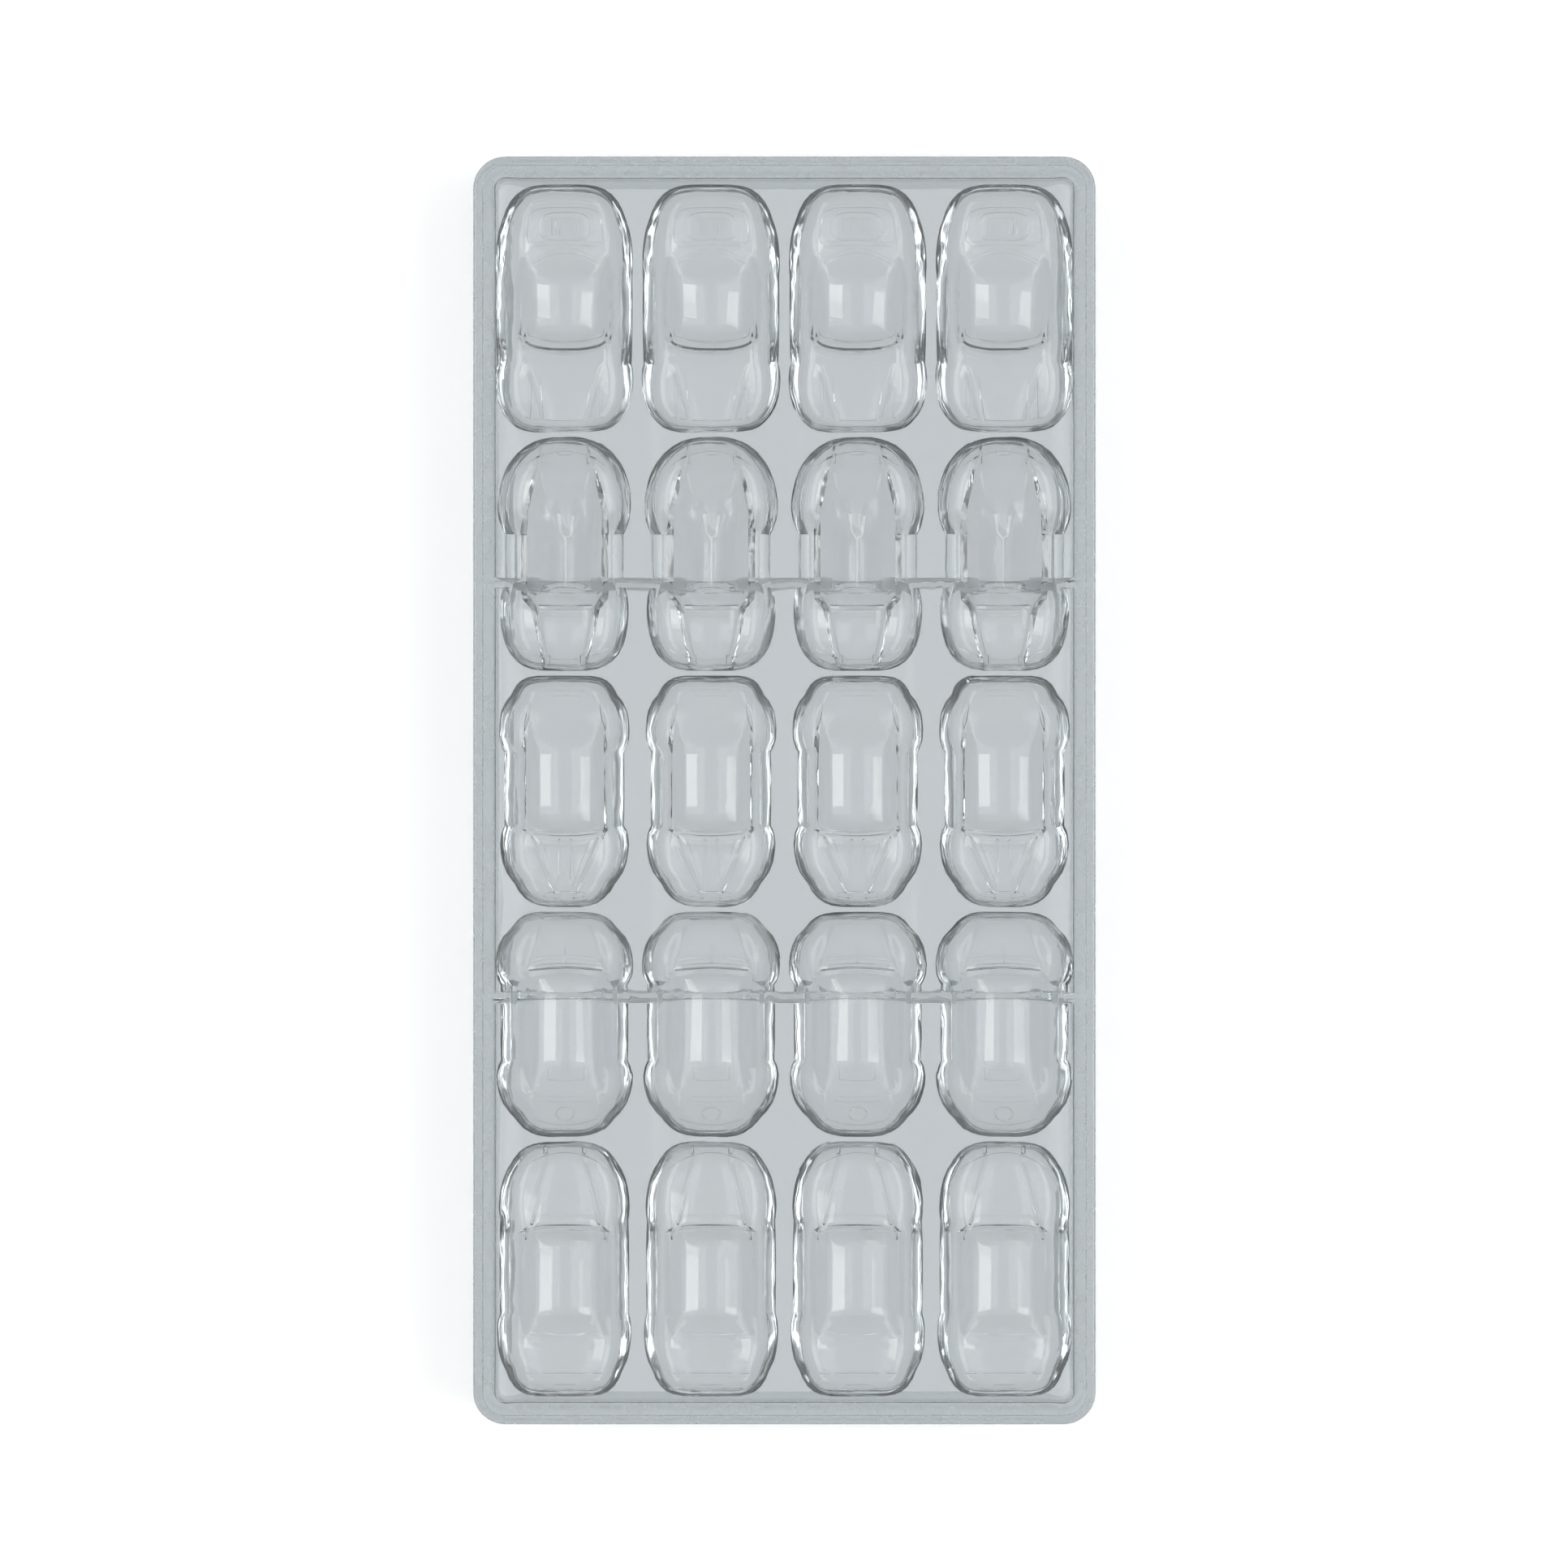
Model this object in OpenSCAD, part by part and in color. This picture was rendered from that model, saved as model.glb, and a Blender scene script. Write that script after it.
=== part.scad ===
// Chocolate mould: one clear injection-moulded plate on a skirt, with twenty
// car-shaped cavities in four columns and five rows, one kind of car a row.
// Origin at the middle of the skirt's foot, +Z up to the working face, +Y along
// the mould to the first row. Millimetres.

/* [Mould] */
// Length of the mould over its skirt
mould_l = 275; // [273:1:320]
// Width of the mould over its skirt
mould_w = 135; // [132:1:180]
// Height from the skirt's foot to the working face
mould_h = 24; // [21:0.5:32]
// Radius of the outer corners, seen from above
corner_r = 7; // [4:0.5:12]
// Thickness of the plate that the cavities sink into
plate_t = 3; // [2.4:0.1:3.6]

/* [Skirt] */
// Thickness of the skirt just above its foot
skirt_t = 3.2; // [2.6:0.1:3.6]
// How far the skirt's inner face leans in from foot to plate
skirt_lean = 1.4; // [0.2:0.1:1.8]
// Radius where the skirt's inner face meets the plate
root_r = 1; // [0.4:0.1:1.4]
// Smallest radius of the skirt's inner corners
inner_corner_r = 2.5; // [1.5:0.1:4]
// Width of the stacking ledge round the working face
ledge_w = 2.2; // [1.2:0.1:2.4]
// Drop from the working face to the stacking ledge
ledge_h = 2.5; // [1.5:0.1:3.5]
// Play between the ledge and the foot of a mould stacked on it
stack_play = 0.2; // [0.1:0.05:0.6]
// Radius of the ledge's outer edge
ledge_r = 0.7; // [0.3:0.1:1.2]
// Bevel of the working face's edge
face_bevel = 0.3; // [0.1:0.1:0.6]

/* [Cross ribs] */
// Distance of each rib from the mould's middle
rib_y = 45; // [30:0.5:60]
// Thickness of a rib at the plate
rib_t = 2.2; // [1.2:0.1:3]
// Thickness of a rib at its free edge
rib_tip_t = 1.6; // [0.8:0.1:2]
// Height of the ribs' free edge above the foot
rib_foot = 4; // [3:0.5:8]

/* [Cavities] */
// Number of columns
columns = 4; // [1:1:4]
// Distance from column to column
column_pitch = 31.8; // [31:0.1:34]
// Gap between the shells of neighbouring rows
row_gap = 0.8; // [0.4:0.1:1]
// Wall between a cavity and its shell, at the sides and over the roof
wall = 2.5; // [1.6:0.1:2.6]
// Wall between a cavity and its shell at nose and tail
end_wall = 1.1; // [1:0.1:1.3]
// Length of a wheel arch's swell along a car
arch_l = 12; // [8:0.5:14]
// Share of a cabin's height that the steep part of its windscreen takes
screen_share = 0.78; // [0.5:0.01:0.9]
// Share of a cabin's height by which its roof falls from the middle to its edges
roof_crown = 0.26; // [0:0.01:0.4]
// Squareness of a car's bonnet and deck line at nose and tail
end_square = 5; // [4:0.5:9]

/* [Coupe, first row] */
// Length of the coupe
coupe_l = 51.8; // [48:0.1:52.4]
// Width over its front wheel arches
coupe_w = 26.2; // [25:0.1:26.6]
// Width over its rear wheel arches
coupe_rear_w = 25.4; // [25:0.1:26.6]
// Width at its doors
coupe_doors_w = 24.8; // [21:0.1:25]
// Nose to the front axle
coupe_front_axle = 8.4; // [8:0.1:12]
// Nose to the rear axle
coupe_rear_axle = 38.4; // [34:0.1:41]
// Nose to the foot of the windscreen
coupe_bonnet_l = 19.5; // [14:0.1:20]
// Length of the windscreen's steep part, seen from above
coupe_screen_l = 2; // [0.8:0.1:3]
// Length of the curve from the windscreen's head to the full height of the roof
coupe_brow_l = 4; // [1:0.1:6]
// Length of the roof
coupe_roof_l = 5.4; // [4:0.1:14]
// Length of the rear window, seen from above
coupe_back_l = 6.1; // [5:0.1:10]
// Height of the bonnet at the nose
coupe_nose_h = 6.4; // [5:0.1:8]
// Height of the bonnet at the windscreen
coupe_cowl_h = 8.2; // [6:0.1:9]
// Height of the deck at the rear window
coupe_deck_h = 9; // [6:0.1:10]
// Height of the deck at the tail
coupe_tail_h = 6.6; // [5:0.1:8]
// Height of the roof
coupe_roof_h = 13.4; // [11:0.1:15]
// Width of the bonnet between the headlamp ridges, at the nose
coupe_nose_w = 8.4; // [2:0.1:14]
// Width of the bonnet at the windscreen
coupe_cowl_w = 18; // [15:0.1:19]
// Width of the cabin
coupe_cabin_w = 19.4; // [16:0.1:20]
// Width of the roof between its side windows
coupe_roof_w = 13.6; // [10:0.1:15]
// Width of the rear deck's panel at the tail
coupe_tail_w = 15; // [8:0.1:18]
// Height of the bonnet's middle over its sides, below zero for a sunk one
coupe_bonnet_rise = -1.1; // [-1.5:0.1:1.5]
// How far the windscreen's foot bows to the nose
coupe_bow = 2.1; // [0:0.1:2.5]
// Squareness of the nose, seen from above
coupe_nose_square = 6; // [2.5:0.1:7]
// Squareness of the tail, seen from above
coupe_tail_square = 4.1; // [2.5:0.1:7]

/* [Tourer, second row] */
// Length of the tourer
tourer_l = 48.7; // [46:0.1:49.6]
// Width over its front wings
tourer_w = 24; // [22:0.1:26]
// Width over its rear wings
tourer_rear_w = 25.2; // [23:0.1:26]
// Width over its running boards
tourer_doors_w = 21.2; // [19:0.1:22]
// Nose to the front axle
tourer_front_axle = 8.4; // [8:0.1:11]
// Nose to the rear axle
tourer_rear_axle = 38.4; // [34:0.1:40]
// Length of a wing
tourer_wing_l = 20; // [16:0.5:21]
// Nose to the foot of the windscreen
tourer_bonnet_l = 13.5; // [12:0.1:18]
// Length of the windscreen's steep part, seen from above
tourer_screen_l = 2.1; // [0.8:0.1:3]
// Length of the curve from the windscreen's head to the full height of the roof
tourer_brow_l = 2; // [1:0.1:6]
// Length of the roof
tourer_roof_l = 16; // [4:0.1:18]
// Length of the back, seen from above
tourer_back_l = 8.6; // [5:0.1:10]
// Height of the bonnet at the nose
tourer_nose_h = 8.4; // [6:0.1:9]
// Height of the bonnet at the windscreen
tourer_cowl_h = 9.8; // [7:0.1:10.5]
// Height of the back at the end of the cabin
tourer_deck_h = 8.6; // [6:0.1:10]
// Height of the back at the tail
tourer_tail_h = 5.4; // [4:0.1:8]
// Height of the roof
tourer_roof_h = 14; // [12:0.1:15.5]
// Height of the wings over the wheels
tourer_wing_h = 7.6; // [6:0.1:8.2]
// Height of the running boards
tourer_board_h = 2.8; // [2:0.1:4]
// Width of the bonnet at the nose
tourer_nose_w = 8.8; // [2:0.1:14]
// Width of the bonnet at the windscreen
tourer_cowl_w = 13; // [10:0.1:14]
// Width of the cabin
tourer_cabin_w = 16.2; // [13:0.1:18]
// Width of the roof between its side windows
tourer_roof_w = 8; // [6:0.1:10]
// Width of the back at the tail
tourer_tail_w = 9.2; // [8:0.1:14]
// How far the windscreen's foot bows to the nose
tourer_bow = 0.2; // [0:0.1:2]
// Squareness of the nose, seen from above
tourer_nose_square = 4.8; // [2.5:0.1:6]
// Squareness of the tail, seen from above
tourer_tail_square = 3.2; // [2.5:0.1:6]

/* [Roadster, third row] */
// Length of the roadster
roadster_l = 48.2; // [46:0.1:49]
// Width over its front wheel arches
roadster_w = 24; // [22:0.1:25]
// Width over its rear wheel arches
roadster_rear_w = 24.2; // [22:0.1:25]
// Width at its doors
roadster_doors_w = 21.4; // [20:0.1:23]
// Nose to the front axle
roadster_front_axle = 11; // [8:0.1:13]
// Nose to the rear axle
roadster_rear_axle = 38.2; // [34:0.1:40]
// Nose to the foot of the windscreen
roadster_bonnet_l = 16.2; // [12:0.1:18]
// Length of the windscreen's steep part, seen from above
roadster_screen_l = 0.9; // [0.8:0.1:3]
// Length of the curve from the windscreen's head to the full height of the roof
roadster_brow_l = 4.8; // [1:0.1:6]
// Length of the roof
roadster_roof_l = 9.6; // [4:0.1:14]
// Length of the rear window, seen from above
roadster_back_l = 8.4; // [5:0.1:10]
// Height of the bonnet at the nose
roadster_nose_h = 5.6; // [4:0.1:7]
// Height of the bonnet at the windscreen
roadster_cowl_h = 7.6; // [6:0.1:8.5]
// Height of the deck at the rear window
roadster_deck_h = 8; // [6:0.1:9]
// Height of the deck at the tail
roadster_tail_h = 7; // [5:0.1:8]
// Height of the roof
roadster_roof_h = 12.2; // [10:0.1:14]
// Width of the raised bonnet at the nose
roadster_nose_w = 2; // [2:0.1:14]
// Width of the bonnet at the windscreen
roadster_cowl_w = 15.6; // [12:0.1:16]
// Width of the cabin
roadster_cabin_w = 17; // [13:0.1:18]
// Width of the roof between its side windows
roadster_roof_w = 13.4; // [11:0.1:15]
// Width of the rear deck's panel at the tail
roadster_tail_w = 14.6; // [8:0.1:17]
// Height of the bonnet's middle over its sides, below zero for a sunk one
roadster_bonnet_rise = 0.7; // [-1.5:0.1:1.5]
// How far the windscreen's foot bows to the nose
roadster_bow = 1.5; // [0:0.1:2]
// Squareness of the nose, seen from above
roadster_nose_square = 3.8; // [2.5:0.1:6]
// Squareness of the tail, seen from above
roadster_tail_square = 6; // [2.5:0.1:8]

/* [Compact, fourth row] */
// Length of the compact
compact_l = 46.8; // [44:0.1:47.4]
// Width over its front wheel arches
compact_w = 26; // [24:0.1:26.4]
// Width over its rear wheel arches
compact_rear_w = 25.8; // [24:0.1:26.4]
// Width at its doors
compact_doors_w = 23; // [20:0.1:24]
// Nose to the front axle
compact_front_axle = 9.2; // [7:0.1:11]
// Nose to the rear axle
compact_rear_axle = 36.8; // [32:0.1:38]
// Nose to the foot of the windscreen
compact_bonnet_l = 13.1; // [10:0.1:14]
// Length of the windscreen's steep part, seen from above
compact_screen_l = 1.4; // [0.8:0.1:3]
// Length of the curve from the windscreen's head to the full height of the roof
compact_brow_l = 4.1; // [1:0.1:6]
// Length of the roof
compact_roof_l = 12.4; // [4:0.1:14]
// Length of the rear window, seen from above
compact_back_l = 6.8; // [4:0.1:8]
// Height of the bonnet at the nose
compact_nose_h = 6.4; // [5:0.1:8]
// Height of the bonnet at the windscreen
compact_cowl_h = 9; // [7:0.1:9.8]
// Height of the deck at the rear window
compact_deck_h = 9.4; // [7:0.1:10]
// Height of the deck at the tail
compact_tail_h = 5.6; // [4:0.1:8]
// Height of the roof
compact_roof_h = 13.6; // [11:0.1:15]
// Width of the raised bonnet at the nose
compact_nose_w = 9; // [2:0.1:14]
// Width of the bonnet at the windscreen
compact_cowl_w = 17.4; // [14:0.1:18]
// Width of the cabin
compact_cabin_w = 17.8; // [14:0.1:19]
// Width of the roof between its side windows
compact_roof_w = 9.6; // [7:0.1:11]
// Width of the rear deck's panel at the tail
compact_tail_w = 11; // [8:0.1:15]
// Height of the bonnet's middle over its sides, below zero for a sunk one
compact_bonnet_rise = 0.5; // [-1.5:0.1:1.5]
// How far the windscreen's foot bows to the nose
compact_bow = 1.7; // [0:0.1:2]
// Squareness of the nose, seen from above
compact_nose_square = 4.8; // [2.5:0.1:6]
// Squareness of the tail, seen from above
compact_tail_square = 3.4; // [2.5:0.1:6]

/* [Cruiser, fifth row] */
// Length of the cruiser
cruiser_l = 53.3; // [51:0.1:54]
// Width over its front wheel arches
cruiser_w = 24.6; // [23:0.1:26]
// Width over its rear wheel arches
cruiser_rear_w = 24.9; // [23:0.1:26]
// Width at its doors
cruiser_doors_w = 23.4; // [21:0.1:24]
// Nose to the front axle
cruiser_front_axle = 10.4; // [8:0.1:13]
// Nose to the rear axle
cruiser_rear_axle = 41.8; // [37:0.1:44]
// Nose to the foot of the windscreen
cruiser_bonnet_l = 18.4; // [14:0.1:20]
// Length of the windscreen's steep part, seen from above
cruiser_screen_l = 1.2; // [0.8:0.1:3]
// Length of the curve from the windscreen's head to the full height of the roof
cruiser_brow_l = 3.6; // [1:0.1:6]
// Length of the roof
cruiser_roof_l = 14.2; // [8:0.1:16]
// Length of the rear window, seen from above
cruiser_back_l = 4.4; // [3:0.1:8]
// Height of the bonnet at the nose
cruiser_nose_h = 7; // [5:0.1:8]
// Height of the bonnet at the windscreen
cruiser_cowl_h = 8; // [6:0.1:8.6]
// Height of the deck at the rear window
cruiser_deck_h = 8.2; // [6:0.1:9]
// Height of the deck at the tail
cruiser_tail_h = 7.2; // [5:0.1:8]
// Height of the roof
cruiser_roof_h = 12.6; // [10:0.1:14]
// Width of the raised bonnet at the nose
cruiser_nose_w = 6.2; // [2:0.1:14]
// Width of the bonnet at the windscreen
cruiser_cowl_w = 15; // [12:0.1:16]
// Width of the cabin
cruiser_cabin_w = 18; // [14:0.1:19]
// Width of the roof between its side windows
cruiser_roof_w = 11.8; // [9:0.1:13]
// Width of the rear deck's panel at the tail
cruiser_tail_w = 16.4; // [8:0.1:18]
// Height of the bonnet's middle over its sides, below zero for a sunk one
cruiser_bonnet_rise = 0.6; // [-1.5:0.1:1.5]
// How far the windscreen's foot bows to the nose
cruiser_bow = 0.3; // [0:0.1:2]
// Squareness of the nose, seen from above
cruiser_nose_square = 4.2; // [2.5:0.1:6]
// Squareness of the tail, seen from above
cruiser_tail_square = 5.4; // [2.5:0.1:7]

/* [Trim of the cars] */
// Number of louvres in the coupe's engine lid
louvres = 8; // [4:1:9]
// Distance from louvre to louvre
louvre_pitch = 0.8; // [0.7:0.05:0.9]
// Width of a louvre
louvre_w = 0.4; // [0.3:0.05:0.5]
// Length of a louvre
louvre_l = 3.8; // [3:0.1:5]
// Distance from the coupe's tail to the middle of its louvres
louvres_from_tail = 8.5; // [7:0.1:10]
// How far louvres, strips, lamps and overriders stand proud of a car
trim_h = 0.4; // [0.3:0.05:0.6]
// Width of the roadster's bonnet strip
roadster_strip_w = 2.8; // [1:0.1:3]
// Length of the roadster's bonnet strip
roadster_strip_l = 9; // [5:0.1:11]
// Width of the compact's bonnet strip
compact_strip_w = 0.8; // [0.5:0.1:2]
// Length of the compact's bonnet strip
compact_strip_l = 5.2; // [3:0.1:7]
// Diameter of the compact's round lamp on the tail
compact_lamp_d = 3.8; // [2:0.1:4]
// Distance from the compact's tail to the middle of that lamp
compact_lamp_from_tail = 4.6; // [4:0.1:6]
// Width of an overrider, the upright on a bumper
overrider_w = 1; // [0.6:0.1:1.4]
// Length of an overrider, seen from above
overrider_l = 2.2; // [1.4:0.1:3]
// Distance between the tourer's overriders at the nose
tourer_nose_span = 7.2; // [5:0.1:9]
// Distance between the tourer's overriders at the tail
tourer_tail_span = 10; // [7:0.1:11]
// Distance from the tourer's tail to the overriders there
tourer_tail_gap = 2.4; // [1:0.1:4]
// Distance between the cruiser's overriders
cruiser_span = 8.4; // [6:0.1:10]

/* [Hidden] */

// How far cutting shapes run past the faces that they cut
over = 0.5;
// Depth below the working face at which the shells start, inside the plate
shell_root = plate_t / 2;
// Segments in each quarter turn of the mould's corners
corner_steps = 6;
// Squareness of a car's section over its whole width
side_square = 2.8;
// Squareness of a wheel arch's or wing's swell along a car
arch_square = 3;
// Squareness with which a shell's side wall thins towards nose and tail
thinning_square = 2.5;
// Roundness of the slope from a roof's or panel's edge down to its foot
slope_round = 1.6;
// Widest that a cabin's foot is, as a share of the car there
cabin_share = 0.93;
// Share of a bonnet's or deck panel's width that its crowned top takes
panel_share = 0.88;
// Height of the roof's rear end, as a share of the cabin's height
roof_end_share = 0.97;
// Share of a car's length over which its bonnet panel rises at the nose
panel_rise_share = 0.08;
// Distance before the windscreen over which that panel fades out
panel_fade = 1;
// Share of the bow at the windscreen's foot that its head has
head_bow_share = 0.7;
// Shares of the way from cabin foot to rim at which a section has its points:
// closer for a cavity than for its shell
cavity_sides = [1, 0.8, 0.35];
shell_sides = [1, 0.55];
// Likewise over the cabin, as shares of the way from the roof's edge to its foot
cavity_roof = [1, 0];
shell_roof = [1, 0];
// And over the crowned top, as shares of its half width
cavity_crown = [0.5];
shell_crown = [];
// Shares of a car's length, from either end, of the sections that round it off
cavity_ends = [0.004, 0.03, 0.085];
shell_ends = [0.006, 0.05];
// Sections at the wheel arches, as shares of an arch's length from the axle,
// and how far from a bend of the car's line they must lie to be kept
cavity_arch = [-0.5, -0.22, 0.22, 0.5];
shell_arch = [0];
cavity_step = 1.7;
shell_step = 3;

// A car is this list: sizes from its own section above, in one order. Those
// that a car doesn't have are zero
COUPE = [coupe_l, coupe_w, coupe_rear_w, coupe_doors_w, coupe_front_axle, coupe_rear_axle,
    coupe_bonnet_l, coupe_screen_l, coupe_brow_l, coupe_roof_l, coupe_back_l,
    coupe_nose_h, coupe_cowl_h, coupe_deck_h, coupe_tail_h, coupe_roof_h,
    coupe_nose_w, coupe_cowl_w, coupe_cabin_w, coupe_roof_w, coupe_tail_w,
    coupe_bonnet_rise, coupe_bow, coupe_nose_square, coupe_tail_square, arch_l, 0, 0];
TOURER = [tourer_l, tourer_w, tourer_rear_w, tourer_doors_w, tourer_front_axle, tourer_rear_axle,
    tourer_bonnet_l, tourer_screen_l, tourer_brow_l, tourer_roof_l, tourer_back_l,
    tourer_nose_h, tourer_cowl_h, tourer_deck_h, tourer_tail_h, tourer_roof_h,
    tourer_nose_w, tourer_cowl_w, tourer_cabin_w, tourer_roof_w, tourer_tail_w,
    0, tourer_bow, tourer_nose_square, tourer_tail_square, tourer_wing_l, tourer_wing_h, tourer_board_h];
ROADSTER = [roadster_l, roadster_w, roadster_rear_w, roadster_doors_w,
    roadster_front_axle, roadster_rear_axle,
    roadster_bonnet_l, roadster_screen_l, roadster_brow_l, roadster_roof_l, roadster_back_l,
    roadster_nose_h, roadster_cowl_h, roadster_deck_h, roadster_tail_h, roadster_roof_h,
    roadster_nose_w, roadster_cowl_w, roadster_cabin_w, roadster_roof_w, roadster_tail_w,
    roadster_bonnet_rise, roadster_bow, roadster_nose_square, roadster_tail_square, arch_l, 0, 0];
COMPACT = [compact_l, compact_w, compact_rear_w, compact_doors_w, compact_front_axle, compact_rear_axle,
    compact_bonnet_l, compact_screen_l, compact_brow_l, compact_roof_l, compact_back_l,
    compact_nose_h, compact_cowl_h, compact_deck_h, compact_tail_h, compact_roof_h,
    compact_nose_w, compact_cowl_w, compact_cabin_w, compact_roof_w, compact_tail_w,
    compact_bonnet_rise, compact_bow, compact_nose_square, compact_tail_square, arch_l, 0, 0];
CRUISER = [cruiser_l, cruiser_w, cruiser_rear_w, cruiser_doors_w, cruiser_front_axle, cruiser_rear_axle,
    cruiser_bonnet_l, cruiser_screen_l, cruiser_brow_l, cruiser_roof_l, cruiser_back_l,
    cruiser_nose_h, cruiser_cowl_h, cruiser_deck_h, cruiser_tail_h, cruiser_roof_h,
    cruiser_nose_w, cruiser_cowl_w, cruiser_cabin_w, cruiser_roof_w, cruiser_tail_w,
    cruiser_bonnet_rise, cruiser_bow, cruiser_nose_square, cruiser_tail_square, arch_l, 0, 0];

// The rows from +Y to -Y, and the turn that sets each row's noses
ROWS = [COUPE, TOURER, ROADSTER, COMPACT, CRUISER];
NOSE_TURN = [0, 0, 0, 180, 180];

// What the places in a car's list are
function len_of(c) = c[0];
function front_w(c) = c[1];
function rear_w(c) = c[2];
function doors_w(c) = c[3];
function front_axle(c) = c[4];
function rear_axle(c) = c[5];
function screen_at(c) = c[6];
function brow_at(c) = screen_at(c) + c[7];
function roof_at(c) = brow_at(c) + c[8];
function back_at(c) = roof_at(c) + c[9];
function deck_at(c) = back_at(c) + c[10];
function nose_h(c) = c[11];
function cowl_h(c) = c[12];
function deck_h(c) = c[13];
function tail_h(c) = c[14];
function roof_h(c) = c[15];
function nose_w(c) = c[16];
function cowl_w(c) = c[17];
function cabin_w(c) = c[18];
function roof_w(c) = c[19];
function tail_w(c) = c[20];
function bonnet_rise(c) = c[21];
function bow(c) = c[22];
function nose_square(c) = c[23];
function tail_square(c) = c[24];
function arch_len(c) = c[25];
function wing_h(c) = c[26];
function board_h(c) = c[27];

// A flat-topped hump: 1 in the middle, 0 at u = -1 and 1, squarer for a larger n
function hump(u, n) = pow(max(0, 1 - pow(min(1, abs(u)), n)), 1 / n);

// A crowned top over the middle share, with slopes down to 0 at u = -1 and 1
function plateau(u, top) = abs(u) <= top ? 1 - roof_crown * pow(u / top, 2)
    : (1 - roof_crown) * (1 - pow(min(1, (abs(u) - top) / (1 - top)), slope_round));

// In what follows, s is the distance from the nose and x the distance from the
// middle, and the widths and heights are those of the chocolate car

// Place along a car, from -1 at the nose to 1 at the tail
function along(c, s) = 2 * s / len_of(c) - 1;

// How far the wheel arch at one axle swells: 1 at the axle, 0 outside the arch
function arch(c, s, axle) = 1 - pow(min(1, 2 * abs(s - axle) / arch_len(c)), arch_square);

// Half width of the car on the working face
function half_w(c, s) =
    hump(along(c, s), along(c, s) < 0 ? nose_square(c) : tail_square(c))
    * (doors_w(c) + (front_w(c) - doors_w(c)) * arch(c, s, front_axle(c))
        + (rear_w(c) - doors_w(c)) * arch(c, s, rear_axle(c))) / 2;

// Half width of the cabin's foot, or of the raised or sunk bonnet
function half_cabin(c, s) = min(cabin_share * half_w(c, s),
    lookup(s, [[0, nose_w(c)], [screen_at(c), cowl_w(c)], [brow_at(c), cabin_w(c)],
        [back_at(c), cabin_w(c)], [len_of(c), tail_w(c)]]) / 2);

// Share of that width that the crowned top takes
function top_share(c, s) =
    let (roof = roof_w(c) / cabin_w(c))
        lookup(s, [[screen_at(c), panel_share], [roof_at(c), roof],
            [back_at(c), roof], [deck_at(c), panel_share]]);

// Height of the line that bonnet and rear deck follow
function line_h(c, s) = hump(along(c, s), end_square)
    * lookup(s, [[0, nose_h(c)], [screen_at(c), cowl_h(c)], [deck_at(c), deck_h(c)], [len_of(c), tail_h(c)]]);

// Height of the body outside the cabin: that line, or separate wings and boards
function body_h(c, s) = wing_h(c) == 0 ? line_h(c, s)
    : hump(along(c, s), end_square) * (board_h(c)
        + (wing_h(c) - board_h(c)) * (arch(c, s, front_axle(c)) + arch(c, s, rear_axle(c))));

// Share of the cabin's height over the line: steep screen, brow, roof and back
function cabin_rise(c, s) = lookup(s, [[screen_at(c), 0], [brow_at(c), screen_share], [roof_at(c), 1],
    [back_at(c), roof_end_share], [deck_at(c), 0]]);

// Share of the bonnet panel's rise
function panel_rise(c, s) = lookup(s, [[0, 0], [len_of(c) * panel_rise_share, 1],
    [screen_at(c) - panel_fade, 1], [screen_at(c), 0]]);

// Height of bonnet panel and cabin over the body
function cabin_h(c, s) = line_h(c, s) - body_h(c, s) + bonnet_rise(c) * panel_rise(c, s)
    + (roof_h(c) - line_h(c, s)) * cabin_rise(c, s);

// Height of the car at one place
function car_h(c, s, x) = body_h(c, s) * hump(x / half_w(c, s), side_square)
    + cabin_h(c, s) * plateau(x / half_cabin(c, s), top_share(c, s));

// How far that place is moved to the nose, so that windscreen and rear window bow
function bowed(c, s, x) = bow(c) * (1 - pow(x / half_w(c, s), 2))
    * lookup(s, [[0, 0], [screen_at(c), 1], [roof_at(c), head_bow_share], [back_at(c), -head_bow_share],
        [deck_at(c), -1], [len_of(c), 0]]);

// The sorted list of a list
function sorted(v) = len(v) < 2 ? v
    : let (p = v[floor(len(v) / 2)])
        concat(sorted([for (a = v) if (a < p) a]), [for (a = v) if (a == p) a],
            sorted([for (a = v) if (a > p) a]));

// Where a car's line bends: at windscreen, brow, roof and rear window
function bends(c) = [screen_at(c), brow_at(c), roof_at(c), back_at(c), deck_at(c)];

// The sections of a car, as distances from its nose: the shares of its length
// that round off its ends, the bends of its line, and, as long as they lie one
// step clear of those, places at its wheel arches
function sections(c, ends, arch, step) =
    let (l = len_of(c), clear = ends[len(ends) - 1] * l + step,
        near_arches = [for (a = [front_axle(c), rear_axle(c)], b = arch) a + b * arch_len(c)],
        kept = [for (a = near_arches)
            if (a > clear && a < l - clear && min([for (b = bends(c)) abs(a - b)]) >= step) a])
        sorted(concat(ends * l, bends(c), kept, [for (e = ends) l - e * l]));

// One section's distances from the middle, from rim over roof to rim
function across(w, f, top, sides, roof, crown) =
    let (half = concat([for (a = sides) f + (w - f) * a], [for (a = roof) f * (top + (1 - top) * a)],
            [for (a = crown) f * top * a]),
        n = len(half))
        concat(half, [0], [for (i = [n - 1:-1:0]) -half[i]]);

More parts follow.
